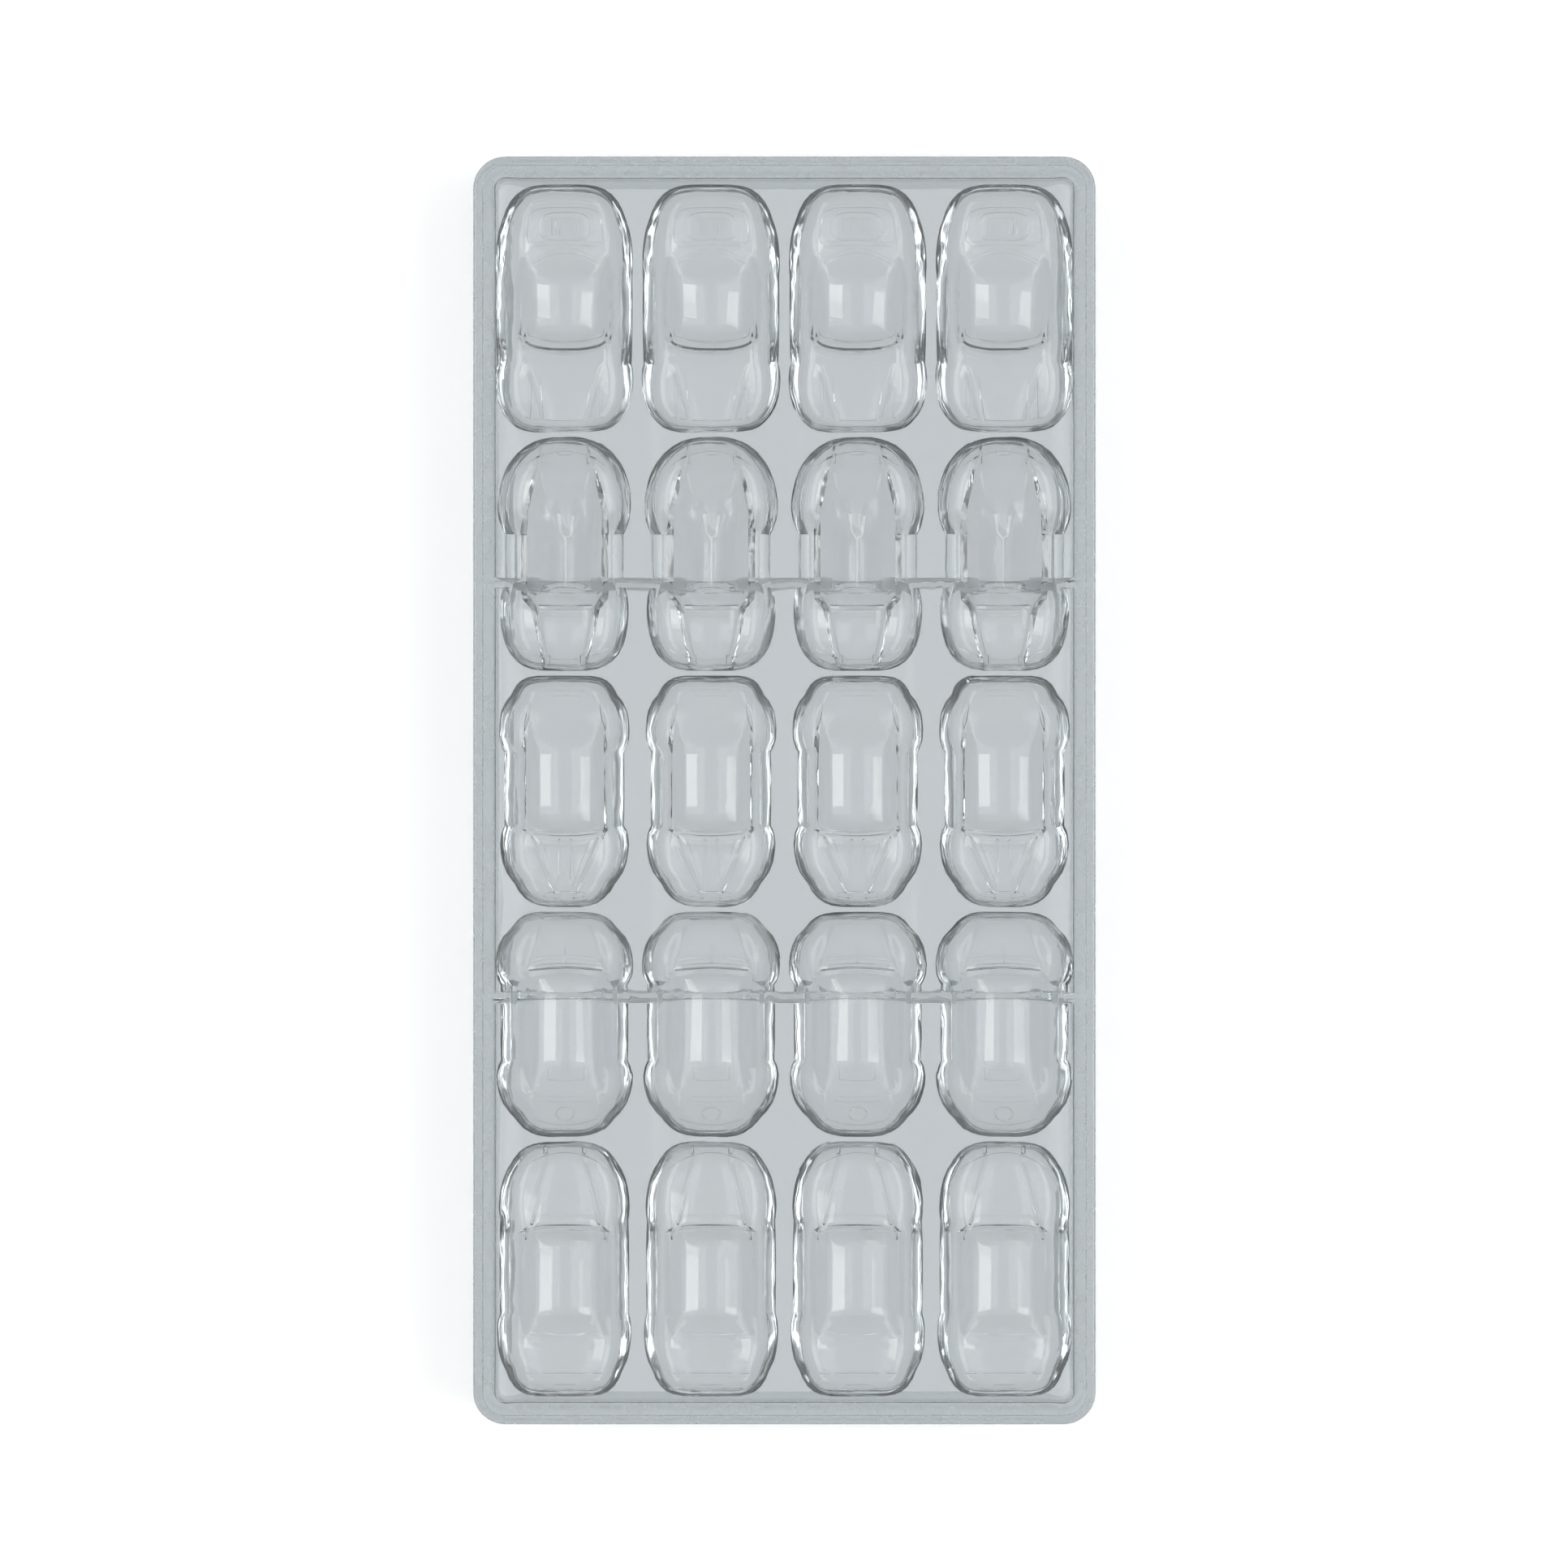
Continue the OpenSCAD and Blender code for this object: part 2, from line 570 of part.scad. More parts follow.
// A car as a solid that hangs from z = 0, with its nose to -Y. Grown by "side"
// and "end", it is the outer form of the car's shell. Its rim lies at rim_z.
module car(c, sides, roof, crown, ends, arch, step, rim_z, side = 0, end = 0) {
    l = len_of(c);
    at = sections(c, ends, arch, step);
    n = len(at);
    m = 2 * (len(sides) + len(roof) + len(crown)) + 1;
    stretch = (l + 2 * end) / l;
    rings = [for (s = at)
        let (w = half_w(c, s), grown = 1 + side * hump(along(c, s), thinning_square) / w,
            xs = across(w, half_cabin(c, s), top_share(c, s), sides, roof, crown))
            [for (k = [0:m - 1])
                let (x = xs[k])
                    [x * grown, (s - l / 2 - bowed(c, s, x)) * stretch,
                        k == 0 || k == m - 1 ? rim_z : -car_h(c, s, x) - side]]];
    nose = n * m;
    tail = nose + 1;
    points = concat([for (r = rings) each r], [[0, -l / 2 * stretch, rim_z], [0, l / 2 * stretch, rim_z]]);
    skin = [for (i = [0:n - 2], k = [0:m - 2])
        let (a = i * m + k) each [[a, a + m + 1, a + 1], [a, a + m, a + m + 1]]];
    nose_fan = [for (k = [0:m - 2]) [nose, k, k + 1]];
    tail_fan = [for (k = [0:m - 2]) [tail, (n - 1) * m + k + 1, (n - 1) * m + k]];
    lid = concat([nose], [for (i = [0:n - 1]) i * m + m - 1], [tail], [for (i = [n - 1:-1:0]) i * m]);
    polyhedron(points, concat(skin, nose_fan, tail_fan, [lid]), convexity = 4);
}

// A strip that stands proud of the car from s1 to s2, at x from the middle
module strip(c, x, s1, s2, w) {
    z1 = -car_h(c, s1, x) - trim_h;
    z2 = -car_h(c, s2, x) - trim_h;
    y1 = s1 - len_of(c) / 2 - bowed(c, s1, x);
    y2 = s2 - len_of(c) / 2 - bowed(c, s2, x);
    translate([x - w / 2, y1, z1])
        rotate([atan2(z2 - z1, y2 - y1), 0, 0])
            cube([w, norm([y2 - y1, z2 - z1]), trim_h + over]);
}

// A round stud that stands proud of the car at s, x from the middle
module stud(c, x, s, d) {
    translate([x, s - len_of(c) / 2, -car_h(c, s, x) - trim_h])
        cylinder(h = trim_h + over, d = d, $fn = 32);
}

// A pair of overriders, "span" apart, from s towards the middle of the car
module overriders(c, s, span) {
    for (x = [-span / 2, span / 2])
        strip(c, x, s, s + overrider_l, overrider_w);
}

module coupe_trim() {
    first = -(louvres - 1) / 2 * louvre_pitch;
    mid = coupe_l - louvres_from_tail;
    for (i = [0:louvres - 1])
        strip(COUPE, first + i * louvre_pitch, mid - louvre_l / 2, mid + louvre_l / 2, louvre_w);
}

module tourer_trim() {
    overriders(TOURER, over, tourer_nose_span);
    overriders(TOURER, tourer_l - tourer_tail_gap - overrider_l, tourer_tail_span);
}

module roadster_trim() {
    strip(ROADSTER, 0, roadster_bonnet_l - roadster_strip_l, roadster_bonnet_l, roadster_strip_w);
}

module compact_trim() {
    strip(COMPACT, 0, compact_bonnet_l - compact_strip_l, compact_bonnet_l, compact_strip_w);
    stud(COMPACT, 0, compact_l - compact_lamp_from_tail, compact_lamp_d);
}

module cruiser_trim() {
    overriders(CRUISER, over, cruiser_span);
}

module trim(row) {
    if (row == 0) coupe_trim();
    if (row == 1) tourer_trim();
    if (row == 2) roadster_trim();
    if (row == 3) compact_trim();
    if (row == 4) cruiser_trim();
}

// Places of rows and columns: the rows fill the mould's length, shell by shell
function sum(v, n) = n == 0 ? 0 : v[n - 1] + sum(v, n - 1);
shell_ls = [for (c = ROWS) len_of(c) + 2 * end_wall];
rows_l = sum(shell_ls, len(ROWS)) + (len(ROWS) - 1) * row_gap;
function row_y(i) = rows_l / 2 - sum(shell_ls, i) - i * row_gap - shell_ls[i] / 2;
function column_x(j) = (j - (columns - 1) / 2) * column_pitch;

module at_each_car() {
    for (i = [0:len(ROWS) - 1], j = [0:columns - 1])
        translate([column_x(j), row_y(i), mould_h])
            rotate([0, 0, NOSE_TURN[i]]) {
                $row = i;
                children();
            }
}

module cavities() {
    at_each_car() {
        car(ROWS[$row], cavity_sides, cavity_roof, cavity_crown, cavity_ends, cavity_arch, cavity_step, over);
        trim($row);
    }
}

module shells() {
    at_each_car()
        car(ROWS[$row], shell_sides, shell_roof, shell_crown, shell_ends, shell_arch, shell_step,
            -shell_root, wall, end_wall);
}

// The outline of the mould set in by "inset", as a ring of points at height z
function ring(inset, z) =
    let (r = max(corner_r - inset, inner_corner_r), x = mould_w / 2 - inset - r, y = mould_l / 2 - inset - r,
        signs = [[1, 1], [-1, 1], [-1, -1], [1, -1]])
        [for (q = [0:3], k = [0:corner_steps])
            let (a = 90 * (q + k / corner_steps))
                [signs[q].x * x + r * cos(a), signs[q].y * y + r * sin(a), z]];

// A solid through such rings, from the lowest to the highest
module ring_loft(profile) {
    n = 4 * (corner_steps + 1);
    m = len(profile);
    points = [for (p = profile) each ring(p[0], p[1])];
    walls = [for (i = [0:m - 2], k = [0:n - 1])
        let (a = i * n + k, b = i * n + (k + 1) % n) each [[a, a + n, b], [b, a + n, b + n]]];
    foot = [for (k = [0:n - 1]) k];
    head = [for (k = [n - 1:-1:0]) (m - 1) * n + k];
    polyhedron(points, concat(walls, [foot, head]), convexity = 4);
}

// The outer form: skirt, rounded stacking ledge, bevelled working face
module outer_form() {
    ledge_z = mould_h - ledge_h;
    ring_loft(concat(
        [[0, 0]],
        [for (a = [0:30:90]) [ledge_r * (1 - cos(a)), ledge_z - ledge_r * (1 - sin(a))]],
        [[ledge_w, ledge_z], [ledge_w, mould_h - face_bevel], [ledge_w + face_bevel, mould_h]]));
}

// The hollow under the plate. Its foot is cut back to take the ledge of the
// mould below when moulds are stacked
module hollow() {
    foot_in = ledge_w - stack_play;
    lean_in = skirt_t + skirt_lean;
    roof_z = mould_h - plate_t;
    ring_loft(concat(
        [[foot_in, -over], [foot_in, ledge_h], [skirt_t, ledge_h]],
        [for (a = [0:30:90]) [lean_in + root_r * (1 - cos(a)), roof_z - root_r * (1 - sin(a))]]));
}

// Ribs across the hollow, thinner at their free edge
module ribs() {
    span = mould_w - 2 * (skirt_t - over / 2);
    tall = mould_h - shell_root - rib_foot;
    for (side = [-1, 1])
        translate([-span / 2, side * rib_y, rib_foot])
            rotate([90, 0, 90])
                linear_extrude(span)
                    polygon([[-rib_tip_t / 2, 0], [rib_tip_t / 2, 0], [rib_t / 2, tall], [-rib_t / 2, tall]]);
}

module mould() {
    color([0.72, 0.75, 0.76, 0.5])
        difference() {
            union() {
                difference() {
                    outer_form();
                    hollow();
                }
                ribs();
                shells();
            }
            cavities();
        }
}

mould();
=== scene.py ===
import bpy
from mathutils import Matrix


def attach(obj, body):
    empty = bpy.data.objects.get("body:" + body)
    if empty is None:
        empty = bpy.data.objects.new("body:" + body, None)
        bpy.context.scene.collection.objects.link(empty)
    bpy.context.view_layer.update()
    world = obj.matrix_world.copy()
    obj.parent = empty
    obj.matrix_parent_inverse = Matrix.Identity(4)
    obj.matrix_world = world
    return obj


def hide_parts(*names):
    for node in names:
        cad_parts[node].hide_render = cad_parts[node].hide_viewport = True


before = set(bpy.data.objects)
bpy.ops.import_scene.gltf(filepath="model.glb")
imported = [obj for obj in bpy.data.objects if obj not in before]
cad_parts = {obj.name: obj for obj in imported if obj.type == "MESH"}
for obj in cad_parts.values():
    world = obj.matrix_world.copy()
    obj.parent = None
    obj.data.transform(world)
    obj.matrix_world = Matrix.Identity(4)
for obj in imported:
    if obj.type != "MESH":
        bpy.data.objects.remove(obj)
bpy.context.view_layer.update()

"""A clear rigid chocolate mould with twenty car-shaped cavities, seen from above.

The mould is one moulded piece. Its cars are lofts: for every place along a car a
section is worked out from a few sizes, once for the cavity and once, grown by the
wall, for the shell under the plate. Beads cut the fine lines. Sizes are millimetres
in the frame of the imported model, and become metres when a mesh is made.
"""

import logging
from dataclasses import dataclass, field, replace
from enum import Enum
from typing import Callable, Sequence

import bpy
import numpy as np
from mathutils import Vector

log = logging.getLogger("chocolate_mould")

MM = 0.001
MOULD_L = 275.0
MOULD_W = 135.0
MOULD_H = 24.0

Shades = tuple[tuple[float, float], ...]
Value = bpy.types.NodeSocket | float | Sequence[float]


class Heading(Enum):
    """The end of the mould that a row's noses face."""

    TO_LAST_ROW = 1.0
    TO_FIRST_ROW = -1.0


class Join(Enum):
    """How one solid is combined with another."""

    ADD = "UNION"
    CUT = "DIFFERENCE"


def hump(u: np.ndarray, n: np.ndarray | float) -> np.ndarray:
    """Superellipse arc: the n-th root of 1 minus the n-th power of |u|.

    Args:
        u: places from -1 to 1.
        n: squareness, 2 for an ellipse and more for a flatter top.

    Returns:
        Heights from 0 at the ends to 1 in the middle.
    """
    return np.maximum(0.0, 1.0 - np.minimum(1.0, np.abs(u)) ** n) ** (1.0 / n)


def plateau(u: np.ndarray, top: np.ndarray, roundness: float, crown: float = 0.26) -> np.ndarray:
    """Crowned top with slopes.

    Over the top the height is 1 less the crown times the squared share of the way out.
    Beyond it, what is left goes down by a power of the share of the slope gone down.

    Args:
        u: places from -1 to 1.
        top: half width of the crowned top.
        roundness: the power, above 1 so that the slope starts gently.
        crown: how much lower the top's edges are than its middle.

    Returns:
        Heights from 0 at the ends to 1 in the middle.
    """
    out = np.abs(u)
    slope = np.clip((out - top) / (1.0 - top), 0.0, 1.0)
    return np.where(out <= top, 1.0 - crown * (u / top) ** 2, (1.0 - crown) * (1.0 - slope ** roundness))


def spaced(start: float, stop: float, step: float) -> np.ndarray:
    """Evenly spaced places from start to stop, no more than a step apart."""
    return np.linspace(start, stop, max(2, int(np.ceil((stop - start) / step)) + 1))


def quads(a: np.ndarray, b: np.ndarray, c: np.ndarray, d: np.ndarray) -> np.ndarray:
    """Two triangles, a-b-c and b-d-c, for every set of four corners."""
    return np.concatenate([np.stack([a, b, c], -1).reshape(-1, 3), np.stack([b, d, c], -1).reshape(-1, 3)])


def fan(tip: int, first: np.ndarray, second: np.ndarray) -> np.ndarray:
    """A triangle from one point to every pair of points."""
    return np.stack([np.full(len(first), tip), first, second], -1)


@dataclass
class Solid:
    """A closed triangle mesh in millimetres."""

    points: np.ndarray
    triangles: np.ndarray

    def outward(self) -> "Solid":
        """Turn all triangles if they enclose a negative volume.

        Volume is a sixth of the sum of a . (b x c) over the triangles.

        Returns:
            This solid, with its triangles facing outwards.
        """
        a, b, c = (self.points[self.triangles[:, i]] for i in range(3))
        if np.einsum("ij,ij->i", a, np.cross(b, c)).sum() < 0.0:
            self.triangles = self.triangles[:, ::-1]
        return self

    def moved(self, x: float, y: float, z: float, facing: float = 1.0) -> "Solid":
        """A copy half-turned about Z when facing is -1, then moved."""
        turned = self.points * np.array([facing, facing, 1.0])
        return Solid(turned + np.array([x, y, z]), self.triangles)

    def as_object(self, name: str) -> bpy.types.Object:
        """Make a Blender object of this solid, in metres.

        Args:
            name: the object's name.

        Returns:
            The new object, linked to the scene.
        """
        mesh = bpy.data.meshes.new(name)
        count = len(self.triangles)
        mesh.vertices.add(len(self.points))
        mesh.vertices.foreach_set("co", (self.points * MM).astype(np.float32).ravel())
        mesh.loops.add(3 * count)
        mesh.loops.foreach_set("vertex_index", self.triangles.astype(np.int32).ravel())
        mesh.polygons.add(count)
        mesh.polygons.foreach_set("loop_start", np.arange(0, 3 * count, 3, dtype=np.int32))
        mesh.update(calc_edges=True)
        made = bpy.data.objects.new(name, mesh)
        bpy.context.scene.collection.objects.link(made)
        return made


def joined(solids: Sequence[Solid]) -> Solid:
    """One solid of several that don't touch each other.

    Args:
        solids: the solids, clear of each other.

    Returns:
        One solid with all their points and triangles.
    """
    offsets = np.cumsum([0] + [len(s.points) for s in solids[:-1]])
    return Solid(np.concatenate([s.points for s in solids]),
                 np.concatenate([s.triangles + o for s, o in zip(solids, offsets)]))


def combine(base: bpy.types.Object, tool: bpy.types.Object, how: Join) -> None:
    """Add a tool object to the base, or cut it from the base, and delete the tool.

    Args:
        base: the object that is kept; its mesh is replaced by the result.
        tool: the other object.
        how: whether the tool is added or cut.
    """
    step = base.modifiers.new(how.name, "BOOLEAN")
    step.operation = how.value
    step.solver = "MANIFOLD"
    step.object = tool
    seen = base.evaluated_get(bpy.context.evaluated_depsgraph_get())
    result = bpy.data.meshes.new_from_object(seen)
    base.modifiers.remove(step)
    before = base.data
    base.data = result
    bpy.data.meshes.remove(before)
    spent = tool.data
    bpy.data.objects.remove(tool)
    bpy.data.meshes.remove(spent)


@dataclass(frozen=True)
class Bead:
    """A fine half-round line that a cavity's surface carries.

    Its path is given on the car, as distances from the nose and from the middle.
    """

    along: np.ndarray
    across: np.ndarray
    radius: np.ndarray
    closed: bool = False
    depth: float = 1.5

    @staticmethod
    def line(s: tuple[float, float], x: tuple[float, float], radius: float = 0.2,
             bow: float = 0.0, end_radius: float | None = None, steps: int = 9,
             depth: float = 1.5) -> "Bead":
        """A line from one place to another, bowed to the tail at its ends.

        Places lie on the straight line between the two, and each is moved along the
        car by the bow times the square of its share of the greatest distance out.

        Args:
            s: first and last place along the car.
            x: first and last place across it.
            radius: radius at the start.
            bow: way to the tail at the ends.
            end_radius: radius at the far end, if it differs.
            steps: points along the line.
            depth: how deep the line is, as a multiple of its radius.

        Returns:
            The bead.
        """
        t = np.linspace(0.0, 1.0, steps)
        across = x[0] + (x[1] - x[0]) * t
        reach = max(abs(x[0]), abs(x[1]), 1e-6)
        along = s[0] + (s[1] - s[0]) * t + bow * (across / reach) ** 2
        width = radius + ((radius if end_radius is None else end_radius) - radius) * t
        return Bead(along, across, width, depth=depth)

    @staticmethod
    def loop(s: tuple[float, float], half: tuple[float, float], radius: float = 0.2,
             square: float = 5.0, steps: int = 32) -> "Bead":
        """A closed outline between two places along the car.

        A superellipse: both coordinates are the 2/n-th power of cosine and sine, and
        its half width runs from the first value to the second along the car.

        Args:
            s: the outline's two ends along the car.
            half: half width at each of them.
            radius: radius of the line.
            square: the power n.
            steps: points round the outline.

        Returns:
            The bead.
        """
        t = np.linspace(0.0, 2.0 * np.pi, steps, endpoint=False)
        u = np.sign(np.cos(t)) * np.abs(np.cos(t)) ** (2.0 / square)
        v = np.sign(np.sin(t)) * np.abs(np.sin(t)) ** (2.0 / square)
        along = (s[0] + s[1]) / 2.0 + (s[1] - s[0]) / 2.0 * u
        across = v * (half[0] + (half[1] - half[0]) * (u + 1.0) / 2.0)
        return Bead(along, across, np.full(steps, radius), closed=True)

    @staticmethod
    def bracket(s: float, half: float, back: float, radius: float, square: float = 5.0,
                steps: int = 24, depth: float = 1.5) -> "Bead":
        """A line across the car whose rounded corners turn back along its sides.

        Half a superellipse: across is the half width times the 2/n-th power of sine, and
        along grows by the way back times 1 less the 2/n-th power of cosine.

        Args:
            s: place of the line along the car.
            half: half width.
            back: way that the sides go back.
            radius: radius of the line.
            square: the power n.
            steps: points along the line.
            depth: how deep the line is, as a multiple of its radius.

        Returns:
            The bead.
        """
        turn = np.linspace(-np.pi / 2.0, np.pi / 2.0, steps)
        across = half * np.sign(turn) * np.abs(np.sin(turn)) ** (2.0 / square)
        along = s + back * (1.0 - np.cos(turn).clip(0.0) ** (2.0 / square))
        return Bead(along, across, np.full(steps, radius), depth=depth)

    @staticmethod
    def leaf(s: tuple[float, float], x: tuple[float, float], radius: float, steps: int = 12) -> "Bead":
        """A straight line whose radius swells to the middle with the sine of its length.

        Args:
            s: first and last place along the car.
            x: first and last place across it.
            radius: radius at the middle.
            steps: points along the line.

        Returns:
            The bead.
        """
        t = np.linspace(0.0, 1.0, steps)
        width = radius * (0.15 + 0.85 * np.sin(np.pi * t))
        return Bead(s[0] + (s[1] - s[0]) * t, x[0] + (x[1] - x[0]) * t, width)

    def mirrored(self) -> "Bead":
        """The same line on the other side of the car."""
        return replace(self, across=-self.across)

    def solid(self, place: Callable[[np.ndarray, np.ndarray], np.ndarray], sides: int = 6) -> Solid:
        """A tube round the path: centre plus radius times (cosine across, sine times depth up).

        Args:
            place: gives points on the car's surface for places along and across it.
            sides: number of sides of the tube.

        Returns:
            A closed solid whose middle lies in the surface.
        """
        centre = place(self.along, self.across)
        step = np.gradient(centre, axis=0)
        if self.closed:
            step = np.roll(centre, -1, axis=0) - np.roll(centre, 1, axis=0)
        step /= np.linalg.norm(step, axis=1, keepdims=True)
        out = np.cross(step, np.array([0.0, 0.0, 1.0]))
        out /= np.linalg.norm(out, axis=1, keepdims=True)
        up = np.cross(out, step)
        turn = np.arange(sides) * 2.0 * np.pi / sides
        wide, deep = np.cos(turn)[None, :, None], self.depth * np.sin(turn)[None, :, None]
        rings = centre[:, None] + self.radius[:, None, None] * (wide * out[:, None] + deep * up[:, None])
        n = len(centre)
        points = rings.reshape(-1, 3)
        i, k = np.meshgrid(np.arange(n if self.closed else n - 1), np.arange(sides), indexing="ij")
        a, b = i * sides + k, i * sides + (k + 1) % sides
        c, d = ((i + 1) % n) * sides + k, ((i + 1) % n) * sides + (k + 1) % sides
        skin = quads(a, b, c, d)
        if not self.closed:
            tips = np.stack([centre[0] - step[0] * self.radius[0], centre[-1] + step[-1] * self.radius[-1]])
            points = np.concatenate([points, tips])
            k = np.arange(sides)
            ahead, start = (k + 1) % sides, (n - 1) * sides
            first, last = fan(n * sides, ahead, k), fan(n * sides + 1, start + k, start + ahead)
            skin = np.concatenate([skin, first, last])
        return Solid(points, skin).outward()


def pairs(*beads: Bead) -> list[Bead]:
    """Every bead with its mirror image."""
    return [one for bead in beads for one in (bead, bead.mirrored())]


@dataclass
class Car:
    """One kind of car: its sizes, its surface, and the solids cut and grown from it."""

    name: str
    length: float
    front_w: float
    rear_w: float
    doors_w: float
    front_axle: float
    rear_axle: float
    bonnet_l: float
    screen_l: float
    brow_l: float
    roof_l: float
    back_l: float
    nose_h: float
    cowl_h: float
    deck_h: float
    tail_h: float
    roof_h: float
    nose_w: float
    cowl_w: float
    cabin_w: float
    roof_w: float
    tail_w: float
    bonnet_rise: float
    bow: float
    nose_square: float
    tail_square: float
    roof_blend: float
    arch_l: float = 12.0
    wing_h: float = 0.0
    board_h: float = 0.0
    heading: Heading = Heading.TO_LAST_ROW
    beads: list[Bead] = field(default_factory=list)

    side_square: float = 2.8
    end_square: float = 5.0
    arch_square: float = 3.0
    thinning_square: float = 2.5
    panel_share: float = 0.88
    shell_blend: float = 2.2
    screen_share: float = 0.78
    roof_end_share: float = 0.97
    panel_fade: float = 1.0
    panel_start: float = 0.08
    cabin_share: float = 0.93
    roof_bow: float = 0.7
    least_step: float = 0.05
    foot_blend: float = 0.15
    brow_blend: float = 0.35
    deck_blend: float = 0.5
    slope_round: float = 1.6
    shell_round: float = 1.8
    shell_flat: float = 0.8
    roof_shares: tuple[float, float] = (0.75, 0.4)
    rim_steps: tuple[tuple[float, float], ...] = ((0.293, -0.293), (1.0, 0.0), (1.0, 2.0))

    bends: list[float] = field(init=False)

    def __post_init__(self) -> None:
        """Work out where along the car its line bends, from windscreen to deck."""
        parts = [self.bonnet_l, self.screen_l, self.brow_l, self.roof_l, self.back_l]
        self.bends = [float(b) for b in np.cumsum(parts)]
        self.screen_at, self.brow_at, self.roof_at, self.back_at, self.deck_at = self.bends

    def share(self, s: np.ndarray) -> np.ndarray:
        """Places along the car as shares, from -1 at the nose to 1 at the tail."""
        return 2.0 * s / self.length - 1.0

    def arch(self, s: np.ndarray, axle: float) -> np.ndarray:
        """Swell of a wheel arch: 1 less the distance in half arches to a power."""
        return 1.0 - np.minimum(1.0, 2.0 * np.abs(s - axle) / self.arch_l) ** self.arch_square

    def half_width(self, s: np.ndarray) -> np.ndarray:
        """Half width on the working face: a superellipse times doors and arches.

        Args:
            s: places along the car from its nose, in millimetres.

        Returns:
            The half widths.
        """
        u = self.share(s)
        square = np.where(u < 0.0, self.nose_square, self.tail_square)
        width = (self.doors_w + (self.front_w - self.doors_w) * self.arch(s, self.front_axle)
                 + (self.rear_w - self.doors_w) * self.arch(s, self.rear_axle))
        return np.maximum(1e-3, hump(u, square) * width / 2.0)

    def half_cabin(self, s: np.ndarray) -> np.ndarray:
        """Half width of the cabin's foot and of the bonnet and deck panels.

        Args:
            s: places along the car from its nose, in millimetres.

        Returns:
            The half widths.
        """
        width = np.interp(s, [0.0, self.screen_at, self.brow_at, self.back_at, self.length],
                          [self.nose_w, self.cowl_w, self.cabin_w, self.cabin_w, self.tail_w])
        return np.minimum(self.cabin_share * self.half_width(s), width / 2.0)

    def line_height(self, s: np.ndarray) -> np.ndarray:
        """Height of the line of bonnet and deck, rounded off at nose and tail.

        Args:
            s: places along the car from its nose, in millimetres.

        Returns:
            The heights.
        """
        line = np.interp(s, [0.0, self.screen_at, self.deck_at, self.length],
                         [self.nose_h, self.cowl_h, self.deck_h, self.tail_h])
        return hump(self.share(s), self.end_square) * line

    def body_height(self, s: np.ndarray) -> np.ndarray:
        """Height of the body beside the cabin: that line, or wings over boards.

        Args:
            s: places along the car from its nose, in millimetres.

        Returns:
            The heights.
        """
        if not self.wing_h:
            return self.line_height(s)
        wings = self.arch(s, self.front_axle) + self.arch(s, self.rear_axle)
        return hump(self.share(s), self.end_square) * (self.board_h + (self.wing_h - self.board_h) * wings)

    def cabin_rise(self, s: np.ndarray, blend: float = 0.0) -> np.ndarray:
        """Share of the cabin's height, its corners blended.

        The mean of 13 samples of the straight-lined profile, taken over a window
        that is short at the windscreen's foot and longer at the roof's ends.

        Args:
            s: distances from the nose.
            blend: least half width of that window.

        Returns:
            Shares from 0 to 1.
        """
        shares = [0.0, self.screen_share, 1.0, self.roof_end_share, 0.0]
        windows = [self.foot_blend, self.brow_blend, self.roof_blend, self.roof_blend, self.deck_blend]
        window = np.maximum(blend, np.interp(s, self.bends, windows))
        samples = [np.interp(s + window * o, self.bends, shares) for o in np.linspace(-1.0, 1.0, 13)]
        return np.mean(samples, axis=0)

    def flat_share(self, s: np.ndarray) -> np.ndarray:
        """Share of the cabin's width that is flat, and of the bonnet and deck panels'.

        Args:
            s: places along the car from its nose, in millimetres.

        Returns:
            The shares, from 0 to 1.
        """
        roof = self.roof_w / self.cabin_w
        return np.interp(s, [self.screen_at, self.roof_at, self.back_at, self.deck_at],
                         [self.panel_share, roof, roof, self.panel_share])

    def height(self, s: np.ndarray, x: np.ndarray, blend: float = 0.0) -> np.ndarray:
        """Height of the car: body hump across the whole width plus cabin plateau.

        Args:
            s: distances from the nose.
            x: distances from the middle.
            blend: least half width of the window over which corners are blended.

        Returns:
            Heights over the working face, downwards in the mould.
        """
        line, body = self.line_height(s), self.body_height(s)
        start, stop = self.panel_start * self.length, self.screen_at - self.panel_fade
        panel = np.interp(s, [0.0, start, stop, self.screen_at], [0.0, 1.0, 1.0, 0.0])
        cabin = line - body + self.bonnet_rise * panel + (self.roof_h - line) * self.cabin_rise(s, blend)
        flat, roundness = self.flat_share(s), self.slope_round
        if blend:
            flat, roundness = flat * self.shell_flat, self.shell_round
        return (body * hump(x / self.half_width(s), self.side_square)
                + cabin * plateau(x / self.half_cabin(s), flat, roundness))

    def bowed(self, s: np.ndarray, x: np.ndarray) -> np.ndarray:
        """How far a place moves to the nose so that both windows bow outwards.

        Args:
            s: places along the car from its nose, in millimetres.
            x: places across the car.

        Returns:
            The ways to the nose.
        """
        share = np.interp(s, [0.0, self.screen_at, self.roof_at, self.back_at, self.deck_at, self.length],
                          [0.0, 1.0, self.roof_bow, -self.roof_bow, -1.0, 0.0])
        return self.bow * (1.0 - (x / self.half_width(s)) ** 2) * share

    def place(self, s: np.ndarray, x: np.ndarray) -> np.ndarray:
        """Points of the surface, with the nose to -Y and the working face at zero."""
        s, x = np.broadcast_arrays(np.asarray(s, float), np.asarray(x, float))
        return np.stack([x, s - self.length / 2.0 - self.bowed(s, x), -self.height(s, x)], -1)

